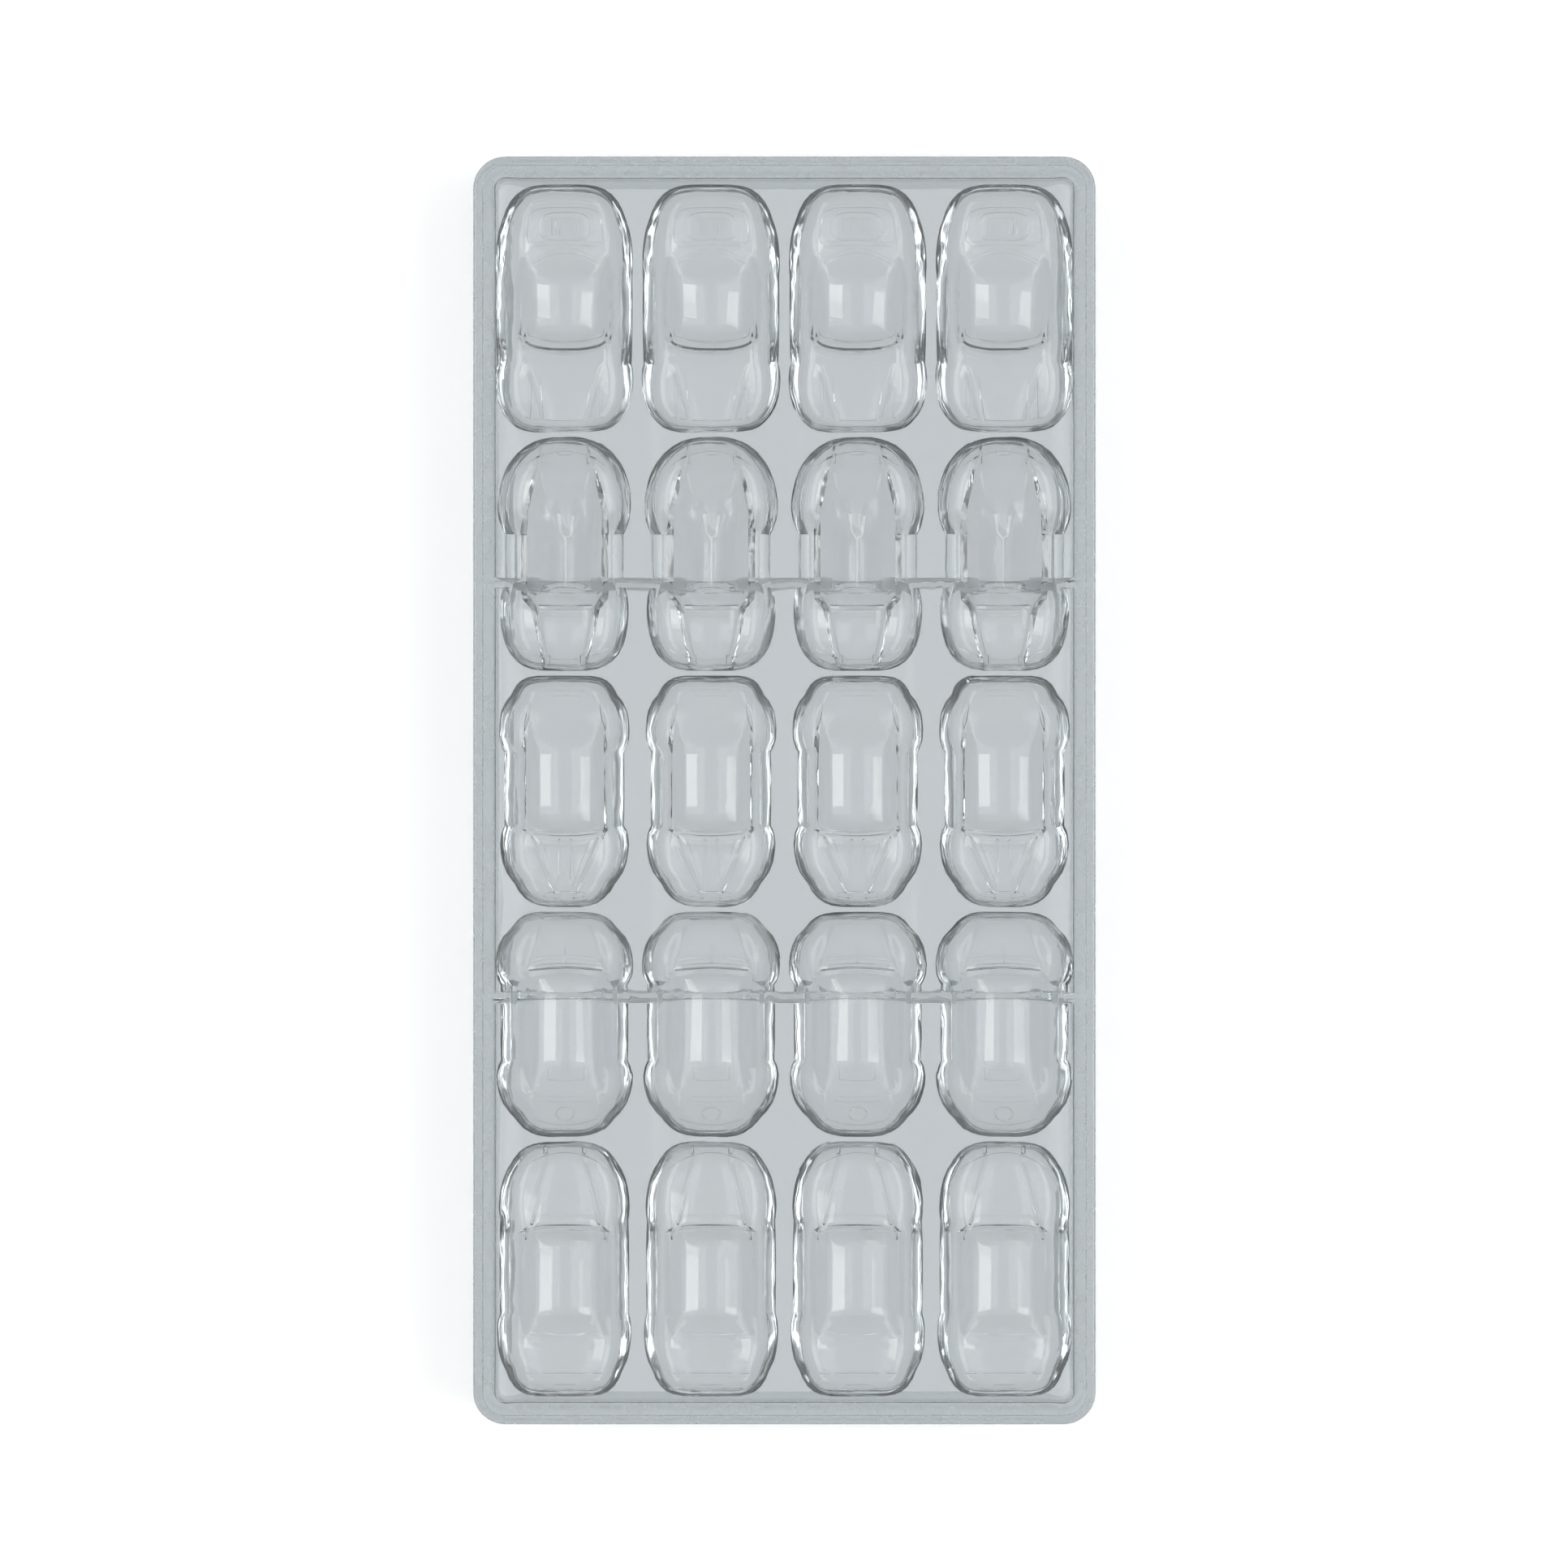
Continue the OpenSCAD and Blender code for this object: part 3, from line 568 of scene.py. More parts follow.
    def stations(self, step: float, fine: Sequence[float], ends: Sequence[float]) -> np.ndarray:
        """Places along the car for its sections.

        Args:
            step: greatest distance between sections along the body.
            fine: distances each side of every bend that get a section as well.
            ends: shares of the length that round off nose and tail.

        Returns:
            Sorted places, none closer than a twentieth of a millimetre.
        """
        first, last = ends[-1] * self.length, (1.0 - ends[-1]) * self.length
        axles = (self.front_axle, self.rear_axle)
        edges = [a + side * self.arch_l / 2.0 for a in axles for side in (-1, 1)]
        beside = [np.array(self.bends) + side * f for f in fine for side in (-1, 1)]
        inner = np.concatenate([spaced(first, last, step), self.bends, edges] + beside)
        inner = inner[(inner > first) & (inner < last)]
        both = np.array(list(ends)) * self.length
        places = np.sort(np.concatenate([both, inner, self.length - both]))
        return places[np.concatenate([[True], np.diff(places) > self.least_step])]

    def loft(self, stations: np.ndarray, sides: np.ndarray, slopes: np.ndarray, wall: float = 0.0,
             end_wall: float = 0.0, rim_z: float = 0.0, fillet: float = 0.0) -> Solid:
        """The car as a closed solid, through one section at each station.

        Each section runs from rim over cabin foot and roof to the other rim. Round
        the rim, rings lie further out and higher on a quarter circle, and a last one
        ends above the working face.

        Args:
            stations: places along the car.
            sides: shares of the way from cabin foot to rim.
            slopes: shares of the way from the roof's flat to the cabin's foot.
            wall: growth across and down, for a shell; it thins towards the ends.
            end_wall: growth at nose and tail.
            rim_z: height at which the solid ends, when there is no fillet.
            fillet: radius of the cavity's rounded rim.

        Returns:
            The solid, with the nose to -Y.
        """
        w, f = self.half_width(stations)[:, None], self.half_cabin(stations)[:, None]
        flat = self.flat_share(stations)[:, None]
        beside, slope = f + (w - f) * sides[None], f * (flat + (1.0 - flat) * slopes[None])
        half = np.concatenate([beside, slope, f * flat * np.array(self.roof_shares)[None]], axis=1)
        x = np.concatenate([half, np.zeros_like(w), -half[:, ::-1]], axis=1)
        s = np.broadcast_to(stations[:, None], x.shape)
        stretch = (self.length + 2.0 * end_wall) / self.length
        grown = 1.0 + wall * hump(self.share(s), self.thinning_square) / w
        y = (s - self.length / 2.0 - self.bowed(s, x)) * stretch
        z = -self.height(s, x, self.shell_blend if wall else 0.0) - wall
        z[:, [0, -1]] = -fillet if fillet else rim_z
        n, m = x.shape
        grid = np.stack([x * grown, y, z], -1).reshape(-1, 3)
        end = self.length / 2.0 * stretch
        tips = np.array([[0.0, -end, z[0, 0]], [0.0, end, z[0, 0]]])
        points = np.concatenate([grid, tips])
        i, k = np.meshgrid(np.arange(n - 1), np.arange(m - 1), indexing="ij")
        a = i * m + k
        k, start = np.arange(m - 1), (n - 1) * m
        nose, tail = n * m, n * m + 1
        skin = [quads(a + 1, a, a + m + 1, a + m), fan(nose, k, k + 1), fan(tail, start + k + 1, start + k)]
        row = np.arange(n)
        rim = np.concatenate([[nose], row * m + m - 1, [tail], row[::-1] * m])
        if fillet:
            points, rim = self.rounded_rim(points, rim, fillet, skin)
        left, right = rim[1:n + 1], rim[:n + 1:-1]
        skin.append(np.array([[rim[0], left[0], right[0]], [rim[n + 1], right[-1], left[-1]]]))
        skin.append(quads(right[:-1], left[:-1], right[1:], left[1:]))
        return Solid(points, np.concatenate(skin)).outward()

    def rounded_rim(self, points: np.ndarray, rim: np.ndarray, fillet: float,
                    skin: list[np.ndarray]) -> tuple[np.ndarray, np.ndarray]:
        """Add rings round the rim: two on a quarter circle, and one above the face.

        Args:
            points: the loft's points.
            rim: indices of its rim's points, in order round the car.
            fillet: the quarter circle's radius.
            skin: the loft's triangles, to which those between the rings are added.

        Returns:
            The points with those of the rings, and indices of the last ring.
        """
        outline = points[rim]
        step = np.roll(outline, -1, axis=0) - np.roll(outline, 1, axis=0)
        out = np.stack([step[:, 1], -step[:, 0]], -1)
        out /= np.linalg.norm(out, axis=1, keepdims=True)
        if np.sum(out * outline[:, :2]) < 0.0:
            out = -out
        for outset, up in self.rim_steps:
            ring = outline.copy()
            ring[:, :2] += out * fillet * outset
            ring[:, 2] = fillet * up
            fresh = len(points) + np.arange(len(rim))
            points = np.concatenate([points, ring])
            skin.append(quads(np.roll(rim, -1), np.roll(fresh, -1), rim, fresh))
            rim = fresh
        return points, rim

    def cavity(self, rim_radius: float) -> bpy.types.Object:
        """The solid that cuts this car's cavity, with its beads.

        Args:
            rim_radius: radius of the cavity's mouth.

        Returns:
            The object to cut with.
        """
        stations = self.stations(1.7, (0.25,), (0.0008, 0.004, 0.011, 0.022, 0.038, 0.058, 0.085))
        sides = np.cos(np.linspace(0.0, np.pi / 2.0, 9))[:-1] ** 0.8
        form = self.loft(stations, sides, np.linspace(1.0, 0.0, 6), fillet=rim_radius)
        made = form.as_object(f"cavity_{self.name}")
        for number, bead in enumerate(self.beads):
            combine(made, bead.solid(self.place).as_object(f"bead_{self.name}_{number}"), Join.ADD)
        return made

    def shell(self, wall: float, end_wall: float, rim_z: float) -> Solid:
        """The outer form of the car's shell under the plate.

        Args:
            wall: thickness at the sides and floor.
            end_wall: thickness at nose and tail.
            rim_z: height of the shell's top, from the working face.

        Returns:
            The shell's solid.
        """
        stations = self.stations(2.0, (), (0.0015, 0.008, 0.02, 0.04, 0.07))
        sides = np.cos(np.linspace(0.0, np.pi / 2.0, 7))[:-1] ** 0.8
        return self.loft(stations, sides, np.linspace(1.0, 0.0, 4), wall, end_wall, rim_z)


def coupe() -> Car:
    """The rear-engined coupe of the first row, with louvres in its engine lid.

    Returns:
        The car.
    """
    louvres = [Bead.line((41.0, 44.8), (x, x), 0.2, steps=4) for x in (np.arange(8) - 3.5) * 0.8]
    outer = Bead.line((2.4, 12.2), (7.2, 7.3), 0.3, end_radius=0.1)
    inner = Bead.line((2.0, 12.2), (4.4, 5.5), 0.26, end_radius=0.06)
    beads = louvres + [
        Bead.loop((39.7, 46.4), (5.6, 5.2), 0.16, 3.6),  # engine lid
        Bead.loop((38.5, 47.6), (8.6, 7.6), 0.14, 4.4),  # panel round it
        Bead.line((1.7, 1.7), (-8.2, 8.2), 0.22, 0.6),  # front bumper
        *pairs(outer, inner),
        Bead.bracket(19.5, 8.9, 2.2, 0.5, depth=1.7),  # windscreen's foot
        Bead.bracket(21.3, 8.3, 1.6, 0.16),  # windscreen's head
        Bead.line((36.6, 36.6), (-7.2, 7.2), 0.12, -1.6, steps=14)]  # rear window
    return Car(
        name="coupe", length=51.8, front_w=26.2, rear_w=25.4, doors_w=24.8, front_axle=8.4,
        rear_axle=38.4, bonnet_l=19.5, screen_l=2.0, brow_l=4.0, roof_l=5.4, back_l=6.1, nose_h=6.4,
        cowl_h=8.2, deck_h=9.0, tail_h=6.6, roof_h=13.4, nose_w=8.4, cowl_w=18.0, cabin_w=19.4,
        roof_w=13.6, tail_w=15.0, bonnet_rise=-1.1, bow=2.1, nose_square=6.0, tail_square=4.1,
        roof_blend=1.8, panel_fade=9.0, beads=beads)


def tourer() -> Car:
    """The old tourer of the second row, with separate wings and running boards.

    Returns:
        The car.
    """
    front = Bead.line((0.5, 2.4), (3.6, 3.6), 0.4, steps=5)
    rear = Bead.line((44.1, 46.2), (5.05, 5.05), 0.35, steps=5)
    edge = Bead.line((1.2, 13.0), (3.7, 6.3), 0.16)
    beads = [
        *pairs(front, rear, edge),
        Bead.line((13.2, 13.2), (-5.6, 5.6), 0.6, depth=2.4),  # windscreen's foot
        Bead.line((1.4, 1.4), (-9.6, 9.6), 0.2, 2.4, steps=14),  # front bumper
        Bead.line((16.4, 16.4), (-7.0, 7.0), 0.14),  # windscreen's head
        Bead.line((46.9, 46.9), (-8.6, 8.6), 0.28, -3.0, steps=14),  # rear bumper
        Bead.loop((46.0, 47.2), (1.6, 1.4), 0.22, 2.4, 20)]  # plate holder
    return Car(
        name="tourer", length=48.7, front_w=24.0, rear_w=25.2, doors_w=21.2, front_axle=8.4,
        rear_axle=38.4, bonnet_l=13.5, screen_l=2.1, brow_l=2.0, roof_l=16.0, back_l=8.6, nose_h=8.4,
        cowl_h=9.8, deck_h=8.6, tail_h=5.4, roof_h=14.0, nose_w=8.8, cowl_w=13.0, cabin_w=16.2,
        roof_w=8.0, tail_w=9.2, bonnet_rise=0.0, bow=0.2, nose_square=4.8, tail_square=3.2,
        roof_blend=0.5, arch_l=20.0, wing_h=7.6, board_h=2.8, beads=beads)


def roadster() -> Car:
    """The long-nosed roadster of the third row, with a V-shaped bonnet panel.

    Returns:
        The car.
    """
    vee = Bead.line((3.4, 14.8), (2.6, 7.2), 0.2, end_radius=0.3)
    crease = Bead.line((3.8, 14.2), (1.7, 5.2), 0.14)
    sliver = Bead.leaf((36.4, 42.6), (8.9, 7.6), 0.5)
    beads = [
        Bead.line((5.6, 14.9), (1.3, 1.3), 0.25),
        Bead.line((5.6, 14.9), (-1.3, -1.3), 0.25),
        *pairs(vee, crease, sliver),
        Bead.line((16.6, 16.6), (-7.8, 7.8), 0.32, steps=14, depth=1.3),  # windscreen's foot
        Bead.loop((0.9, 2.4), (4.7, 3.8), 0.25, 3.0),  # air intake
        Bead.line((45.6, 45.6), (-4.2, 4.2), 0.14),  # boot lid
        Bead.line((44.2, 44.2), (-3.4, 3.4), 0.12)]  # line above it
    return Car(
        name="roadster", length=48.2, front_w=24.0, rear_w=24.2, doors_w=21.4, front_axle=11.0,
        rear_axle=38.2, bonnet_l=16.2, screen_l=0.9, brow_l=4.8, roof_l=9.6, back_l=8.4, nose_h=5.6,
        cowl_h=7.6, deck_h=8.0, tail_h=7.0, roof_h=12.2, nose_w=2.0, cowl_w=15.6, cabin_w=17.0,
        roof_w=13.4, tail_w=14.6, bonnet_rise=0.7, bow=1.5, nose_square=3.8, tail_square=6.0,
        roof_blend=0.5, beads=beads)


def compact() -> Car:
    """The round compact of the fourth row, with a small rear window and a lamp.

    Returns:
        The car.
    """
    beads = [
        Bead.line((0.7, 0.7), (-4.5, 4.5), 0.36),  # front bumper
        Bead.line((7.9, 11.9), (0.0, 0.0), 0.2, steps=6),  # bonnet strip
        Bead.line((12.5, 12.5), (-7.9, 7.9), 0.55, steps=16, depth=2.4),  # windscreen's foot
        Bead.line((18.4, 18.4), (-6.0, 6.0), 0.14),  # windscreen's head
        Bead.loop((31.8, 34.7), (4.0, 4.0), 0.12, 9.0),  # rear window
        Bead.line((39.3, 39.3), (-5.2, 5.2), 0.12),  # lid line
        Bead.line((38.0, 38.0), (-4.4, 4.4), 0.1),  # line above it
        Bead.loop((40.6, 44.2), (1.9, 1.9), 0.2, 2.0, 24),  # lamp
        Bead.line((45.2, 45.2), (-6.6, 6.6), 0.2, -1.2)]  # rear bumper
    return Car(
        name="compact", length=46.8, front_w=26.0, rear_w=25.8, doors_w=23.0, front_axle=9.2,
        rear_axle=36.8, bonnet_l=13.1, screen_l=1.4, brow_l=4.1, roof_l=12.4, back_l=6.8, nose_h=6.4,
        cowl_h=9.0, deck_h=9.4, tail_h=5.6, roof_h=13.6, nose_w=9.0, cowl_w=17.4, cabin_w=17.8,
        roof_w=9.6, tail_w=11.0, bonnet_rise=0.5, bow=1.7, nose_square=4.8, tail_square=3.4,
        roof_blend=0.5, heading=Heading.TO_FIRST_ROW, beads=beads)


def cruiser() -> Car:
    """The long cruiser of the fifth row, with spears on its bonnet and bumpers.

    Returns:
        The car.
    """
    spear = Bead.line((6.9, 17.4), (4.5, 7.3), 0.08, end_radius=0.4)
    upright = Bead.line((0.3, 2.1), (4.2, 4.2), 0.5, steps=5)
    lamp = Bead.line((49.5, 49.5), (6.2, 8.2), 0.2, steps=6)
    beads = [
        *pairs(spear, upright, lamp),
        Bead.line((1.5, 1.5), (-9.4, 9.4), 0.25, 3.4, steps=14),  # front bumper
        Bead.bracket(18.4, 8.6, 2.2, 0.42, depth=1.6),  # windscreen's foot
        Bead.line((41.4, 41.4), (-7.2, 7.2), 0.14, -0.8, steps=14),  # rear window
        Bead.line((49.5, 49.5), (-4.6, 4.6), 0.16),  # boot lid
        Bead.line((52.0, 52.0), (-2.3, 2.3), 0.16, steps=6)]  # plate holder
    return Car(
        name="cruiser", length=53.3, front_w=24.6, rear_w=24.9, doors_w=23.4, front_axle=10.4,
        rear_axle=41.8, bonnet_l=18.4, screen_l=1.2, brow_l=3.6, roof_l=14.2, back_l=4.4, nose_h=7.0,
        cowl_h=8.0, deck_h=8.2, tail_h=7.2, roof_h=12.6, nose_w=6.2, cowl_w=15.0, cabin_w=18.0,
        roof_w=11.8, tail_w=16.4, bonnet_rise=0.6, bow=0.3, nose_square=4.2, tail_square=5.4,
        roof_blend=1.4, heading=Heading.TO_FIRST_ROW, beads=beads)


@dataclass
class Frame:
    """The plate, its skirt with the stacking ledge, and the ribs under it."""

    corner_r: float = 7.0
    plate_t: float = 3.0
    skirt_t: float = 3.2
    skirt_lean: float = 1.4
    root_r: float = 1.0
    inner_corner_r: float = 2.5
    ledge_w: float = 2.2
    ledge_h: float = 2.5
    stack_play: float = 0.2
    ledge_r: float = 0.7
    ledge_root_r: float = 0.3
    edge_r: float = 0.3
    foot_r: float = 0.3
    rib_y: float = 45.0
    rib_t: float = 2.2
    rib_tip_t: float = 1.6
    rib_foot: float = 4.0
    rib_sink: float = 0.25
    over: float = 0.5
    corner_steps: int = 14
    edge_steps: int = 6

    def ring(self, inset: float, z: float) -> np.ndarray:
        """The mould's outline set in: four quarter circles round a rectangle.

        Args:
            inset: way in from the mould's outline.
            z: height of the ring.

        Returns:
            The ring's points.
        """
        r = max(self.corner_r - inset, self.inner_corner_r)
        x, y = MOULD_W / 2.0 - inset - r, MOULD_L / 2.0 - inset - r
        quarter = np.repeat(np.arange(4), self.corner_steps + 1)
        angle = (quarter + np.tile(np.linspace(0.0, 1.0, self.corner_steps + 1), 4)) * np.pi / 2.0
        sx, sy = np.array([1, -1, -1, 1])[quarter], np.array([1, 1, -1, -1])[quarter]
        return np.stack([sx * x + r * np.cos(angle), sy * y + r * np.sin(angle),
                         np.full(len(angle), z)], -1)

    def loft(self, profile: Sequence[tuple[float, float]]) -> Solid:
        """A solid through rings, each given by its inset and height, from the lowest.

        Args:
            profile: inset and height of each ring.

        Returns:
            The solid.
        """
        n = 4 * (self.corner_steps + 1)
        m = len(profile)
        points = np.concatenate([self.ring(*p) for p in profile]
                                + [np.array([[0.0, 0.0, profile[0][1]], [0.0, 0.0, profile[-1][1]]])])
        i, k = np.meshgrid(np.arange(m - 1), np.arange(n), indexing="ij")
        a, b = i * n + k, i * n + (k + 1) % n
        k, top = np.arange(n), (m - 1) * n
        ahead = (k + 1) % n
        skin = [quads(a, b, a + n, b + n), fan(m * n, ahead, k), fan(m * n + 1, top + k, top + ahead)]
        return Solid(points, np.concatenate(skin)).outward()

    def inwards(self, radius: float, inset: float, z: float) -> list[tuple[float, float]]:
        """Quarter circle that turns a wall's top inwards.

        At angle a the inset is r (1 - cos a) more and the height r (1 - sin a) less.

        Args:
            radius: the circle's radius r.
            inset: inset at which it begins.
            z: height at which it ends.

        Returns:
            Insets and heights, from the lowest.
        """
        turn = np.linspace(0.0, np.pi / 2.0, self.edge_steps)
        return [(inset + radius * (1 - np.cos(a)), z - radius * (1 - np.sin(a))) for a in turn]

    def outer(self) -> Solid:
        """Skirt, rounded ledge and working face as one solid.

        The foot and the ledge's inner corner are quarter circles that turn the other
        way: the inset differs by r (1 - sin a) and the height by r (1 - cos a).

        Returns:
            The solid.
        """
        turn = np.linspace(0.0, np.pi / 2.0, self.edge_steps)
        z, r = MOULD_H - self.ledge_h, self.ledge_root_r
        foot = [(self.foot_r * (1 - np.sin(a)), self.foot_r * (1 - np.cos(a))) for a in turn]
        root = [(self.ledge_w - r * (1 - np.sin(a)), z + r * (1 - np.cos(a))) for a in turn]
        return self.loft([*foot, *self.inwards(self.ledge_r, 0.0, z), *root,
                          *self.inwards(self.edge_r, self.ledge_w, MOULD_H)])

    def hollow(self) -> Solid:
        """The space under the plate, with the recess for the mould below.

        Returns:
            The solid.
        """
        foot_in = self.ledge_w - self.stack_play
        root = self.inwards(self.root_r, self.skirt_t + self.skirt_lean, MOULD_H - self.plate_t)
        recess = [(foot_in, -self.over), (foot_in, self.ledge_h), (self.skirt_t, self.ledge_h)]
        return self.loft([*recess, *root])

    def rib(self, y: float) -> Solid:
        """One rib across the mould: a tapered bar with a half-round free edge.

        Args:
            y: the rib's place along the mould.

        Returns:
            The rib's solid.
        """
        span = MOULD_W / 2.0 - self.skirt_t + self.rib_sink
        turn = np.linspace(np.pi, 2.0 * np.pi, 9)
        r = self.rib_tip_t / 2.0
        top = MOULD_H - self.plate_t / 2.0
        section = np.concatenate([np.stack([r * np.cos(turn), self.rib_foot + r + r * np.sin(turn)], -1),
                                  [[self.rib_t / 2.0, top], [-self.rib_t / 2.0, top]]])
        n = len(section)
        ends = [np.stack([np.full(n, x), y + section[:, 0], section[:, 1]], -1) for x in (-span, span)]
        k, cap = np.arange(n), np.arange(1, n - 1)
        ahead = (k + 1) % n
        skin = [quads(k, ahead, k + n, ahead + n), fan(0, cap + 1, cap), fan(n, n + cap, n + cap + 1)]
        return Solid(np.concatenate(ends), np.concatenate(skin)).outward()

    def build(self) -> bpy.types.Object:
        """Cut the hollow from the outer form and add the ribs.

        Returns:
            The body's object.
        """
        made = self.outer().as_object("mould_body")
        combine(made, self.hollow().as_object("hollow"), Join.CUT)
        ribs = joined([self.rib(-self.rib_y), self.rib(self.rib_y)])
        combine(made, ribs.as_object("ribs"), Join.ADD)
        return made


class Graph:
    """The nodes of one material or world."""

    def __init__(self, tree: bpy.types.NodeTree) -> None:
        """Keep the tree's nodes and its way of linking them."""
        self.nodes = tree.nodes
        self.link = tree.links.new

    def put(self, value: Value, socket: bpy.types.NodeSocket) -> None:
        """Link another node's output to an input, or set the input to a plain value.

        Args:
            value: an output, or a plain value.
            socket: the input.
        """
        if isinstance(value, bpy.types.NodeSocket):
            self.link(value, socket)
        else:
            socket.default_value = value

    def node(self, kind: str, **inputs: Value) -> bpy.types.Node:
        """Add a node and fill in some of its inputs.

        Args:
            kind: the node's type without the word ShaderNode.
            inputs: values by input name, with "_" for each space.

        Returns:
            The new node.
        """
        made = self.nodes.new(f"ShaderNode{kind}")
        for name, value in inputs.items():
            self.put(value, made.inputs[name.replace("_", " ")])
        return made

    def maths(self, how: str, *values: Value) -> bpy.types.NodeSocket:
        """One step of arithmetic on outputs or plain numbers.

        Args:
            how: the step's name in Blender.
            values: its inputs in order.

        Returns:
            The result's output.
        """
        made = self.nodes.new("ShaderNodeMath")
        made.operation = how
        for value, socket in zip(values, made.inputs):
            self.put(value, socket)
        return made.outputs[0]

    def step(self, value: Value, start: float, stop: float, low: float = 0.0, high: float = 1.0,
             smooth: bool = True) -> bpy.types.NodeSocket:
        """A clamped step from one number to another.

        Args:
            value: what the step depends on.
            start: the value at which it begins.
            stop: the value at which it is complete.
            low: the number before it.
            high: the number after it.
            smooth: whether its ends are rounded off.

        Returns:
            The output that carries the number.
        """
        made = self.nodes.new("ShaderNodeMapRange")
        made.interpolation_type = "SMOOTHSTEP" if smooth else "LINEAR"
        for name, number in (("Value", value), ("From Min", start), ("From Max", stop), ("To Min", low),
                             ("To Max", high)):
            self.put(number, made.inputs[name])
        return made.outputs["Result"]

    def mix(self, share: Value, first: Value, second: Value) -> bpy.types.NodeSocket:
        """A colour between two others, by the second one's share.

        Args:
            share: share of the second colour.
            first: first colour.
            second: second colour.

        Returns:
            The mixed colour's output.
        """
        made = self.nodes.new("ShaderNodeMix")
        made.data_type = "RGBA"
        for name, value in (("Factor", share), ("A", first), ("B", second)):
            self.put(value, made.inputs[name])
        return made.outputs["Result"]

    def noise(self, place: Value, scale: float, detail: float) -> bpy.types.NodeSocket:
        """Smooth noise from 0 to 1, its scale in waves per metre."""
        return self.node("TexNoise", Vector=place, Scale=scale, Detail=detail).outputs["Fac"]


@dataclass(frozen=True)
class ClearPolycarbonate:
    """Clear, polished polycarbonate with a faint blue-grey tint. Lengths are metres."""

    name: str = "clear_polycarbonate"
    tint: tuple[float, float, float, float] = (0.52, 0.55, 0.565, 1.0)
    cool_tint: tuple[float, float, float, float] = (0.50, 0.535, 0.555, 1.0)
    # painted light: a paler tint and less clearness on rays bent several times, to grey the dark
    # trapped-light lines
    painted_light_tint: tuple[float, float, float, float] = (0.88, 0.90, 0.90, 1.0)
    pale_depth: tuple[float, float] = (2.0, 5.0)
    clearness: float = 0.93
    deep_clearness: float = 0.6
    clear_depth: tuple[float, float] = (4.0, 10.0)
    absorbed: tuple[float, float, float, float] = (0.72, 0.78, 0.80, 1.0)
    density: float = 12.0
    index: float = 1.5
    flow_scale: float = 14.0
    wear_scale: float = 260.0
    wear_range: tuple[float, float] = (0.45, 0.8)
    roughness: tuple[float, float] = (0.05, 0.12)
    rib_at: float = 0.045
    rib_half: float = 0.0013
    rib_reach: float = 0.0625
    rib_foot_top: float = 0.007
    rib_frost: float = 0.35
    half_w: float = MOULD_W / 2.0 * MM
    half_l: float = MOULD_L / 2.0 * MM
    ledge_inset: tuple[float, float] = (0.0052, 0.0044)
    ledge_frost: float = 0.35
    steep_range: tuple[float, float] = (0.95, 0.45)
    level_limit: float = 0.3
    side_limit: float = 0.5
    ripple_scale: float = 90.0
    ripple_depth: float = 0.0013

    def material(self) -> bpy.types.Material:
        """Build the node material.

        Tint and haze depend on how many times the light has been bent: after a few bends
        the tint is painted paler and the plastic hazier, painted light that greys the
        dark lines of light trapped in the walls. The ledge and the ribs' faces are duller,
        and steep walls apart from these carry ripples.

        Returns:
            The material.
        """
        made = bpy.data.materials.new(self.name)
        made.use_nodes = True
        made.node_tree.nodes.clear()
        graph = Graph(made.node_tree)
        place = graph.node("TexCoord").outputs["Object"]
        at = graph.node("SeparateXYZ", Vector=place).outputs
        way = graph.node("SeparateXYZ", Vector=graph.node("NewGeometry").outputs["Normal"]).outputs
        depth = graph.node("LightPath").outputs["Ray Depth"]
        across, along = graph.maths("ABSOLUTE", at["X"]), graph.maths("ABSOLUTE", at["Y"])
        level = graph.maths("ABSOLUTE", way["Z"])
        inset = graph.maths("MINIMUM", graph.maths("SUBTRACT", self.half_w, across),
                            graph.maths("SUBTRACT", self.half_l, along))
        ledge = graph.step(inset, *self.ledge_inset)
        inner = graph.maths("SUBTRACT", 1.0, ledge)
        rib = graph.maths("COMPARE", along, self.rib_at, self.rib_half)

        wear = graph.noise(place, self.wear_scale, 4.0)
        polish = graph.step(wear, *self.wear_range, *self.roughness, smooth=False)
        on_ledge = graph.maths("MULTIPLY", graph.maths("MULTIPLY", ledge, wear), self.ledge_frost)
        on_ledge = graph.maths("MULTIPLY", on_ledge, graph.maths("GREATER_THAN", level, self.level_limit))
        face = graph.maths("MAXIMUM", graph.maths("LESS_THAN", level, self.side_limit),
                           graph.maths("LESS_THAN", at["Z"], self.rib_foot_top))
        under = graph.maths("MULTIPLY", rib, graph.maths("LESS_THAN", across, self.rib_reach))
        on_rib = graph.maths("MULTIPLY", graph.maths("MULTIPLY", face, under), self.rib_frost)
        rough = graph.maths("ADD", polish, graph.maths("ADD", on_ledge, on_rib))

        calm = graph.maths("MULTIPLY", graph.maths("SUBTRACT", 1.0, rib), inner)
        steep = graph.maths("MULTIPLY", graph.step(level, *self.steep_range), calm)
        waves = graph.maths("MULTIPLY", graph.noise(place, self.ripple_scale, 2.0), steep)
        bump = graph.node("Bump", Strength=1.0, Distance=self.ripple_depth, Height=waves)

        flow = graph.mix(graph.noise(place, self.flow_scale, 2.0), self.tint, self.cool_tint)
        # painted light: after a few bends the tint turns paler and the plastic hazier, except on the ledge
        deep = graph.maths("MULTIPLY", graph.step(depth, *self.pale_depth, smooth=False), inner)
        clear = graph.step(depth, *self.clear_depth, self.clearness, self.deep_clearness, smooth=False)
        colour = graph.mix(deep, flow, self.painted_light_tint)
        plastic = graph.node("BsdfPrincipled", IOR=self.index, Base_Color=colour, Transmission_Weight=clear,
                             Roughness=rough, Normal=bump.outputs["Normal"])
        inside = graph.node("VolumeAbsorption", Color=self.absorbed, Density=self.density)
        graph.node("OutputMaterial", Surface=plastic.outputs[0], Volume=inside.outputs[0])
        return made


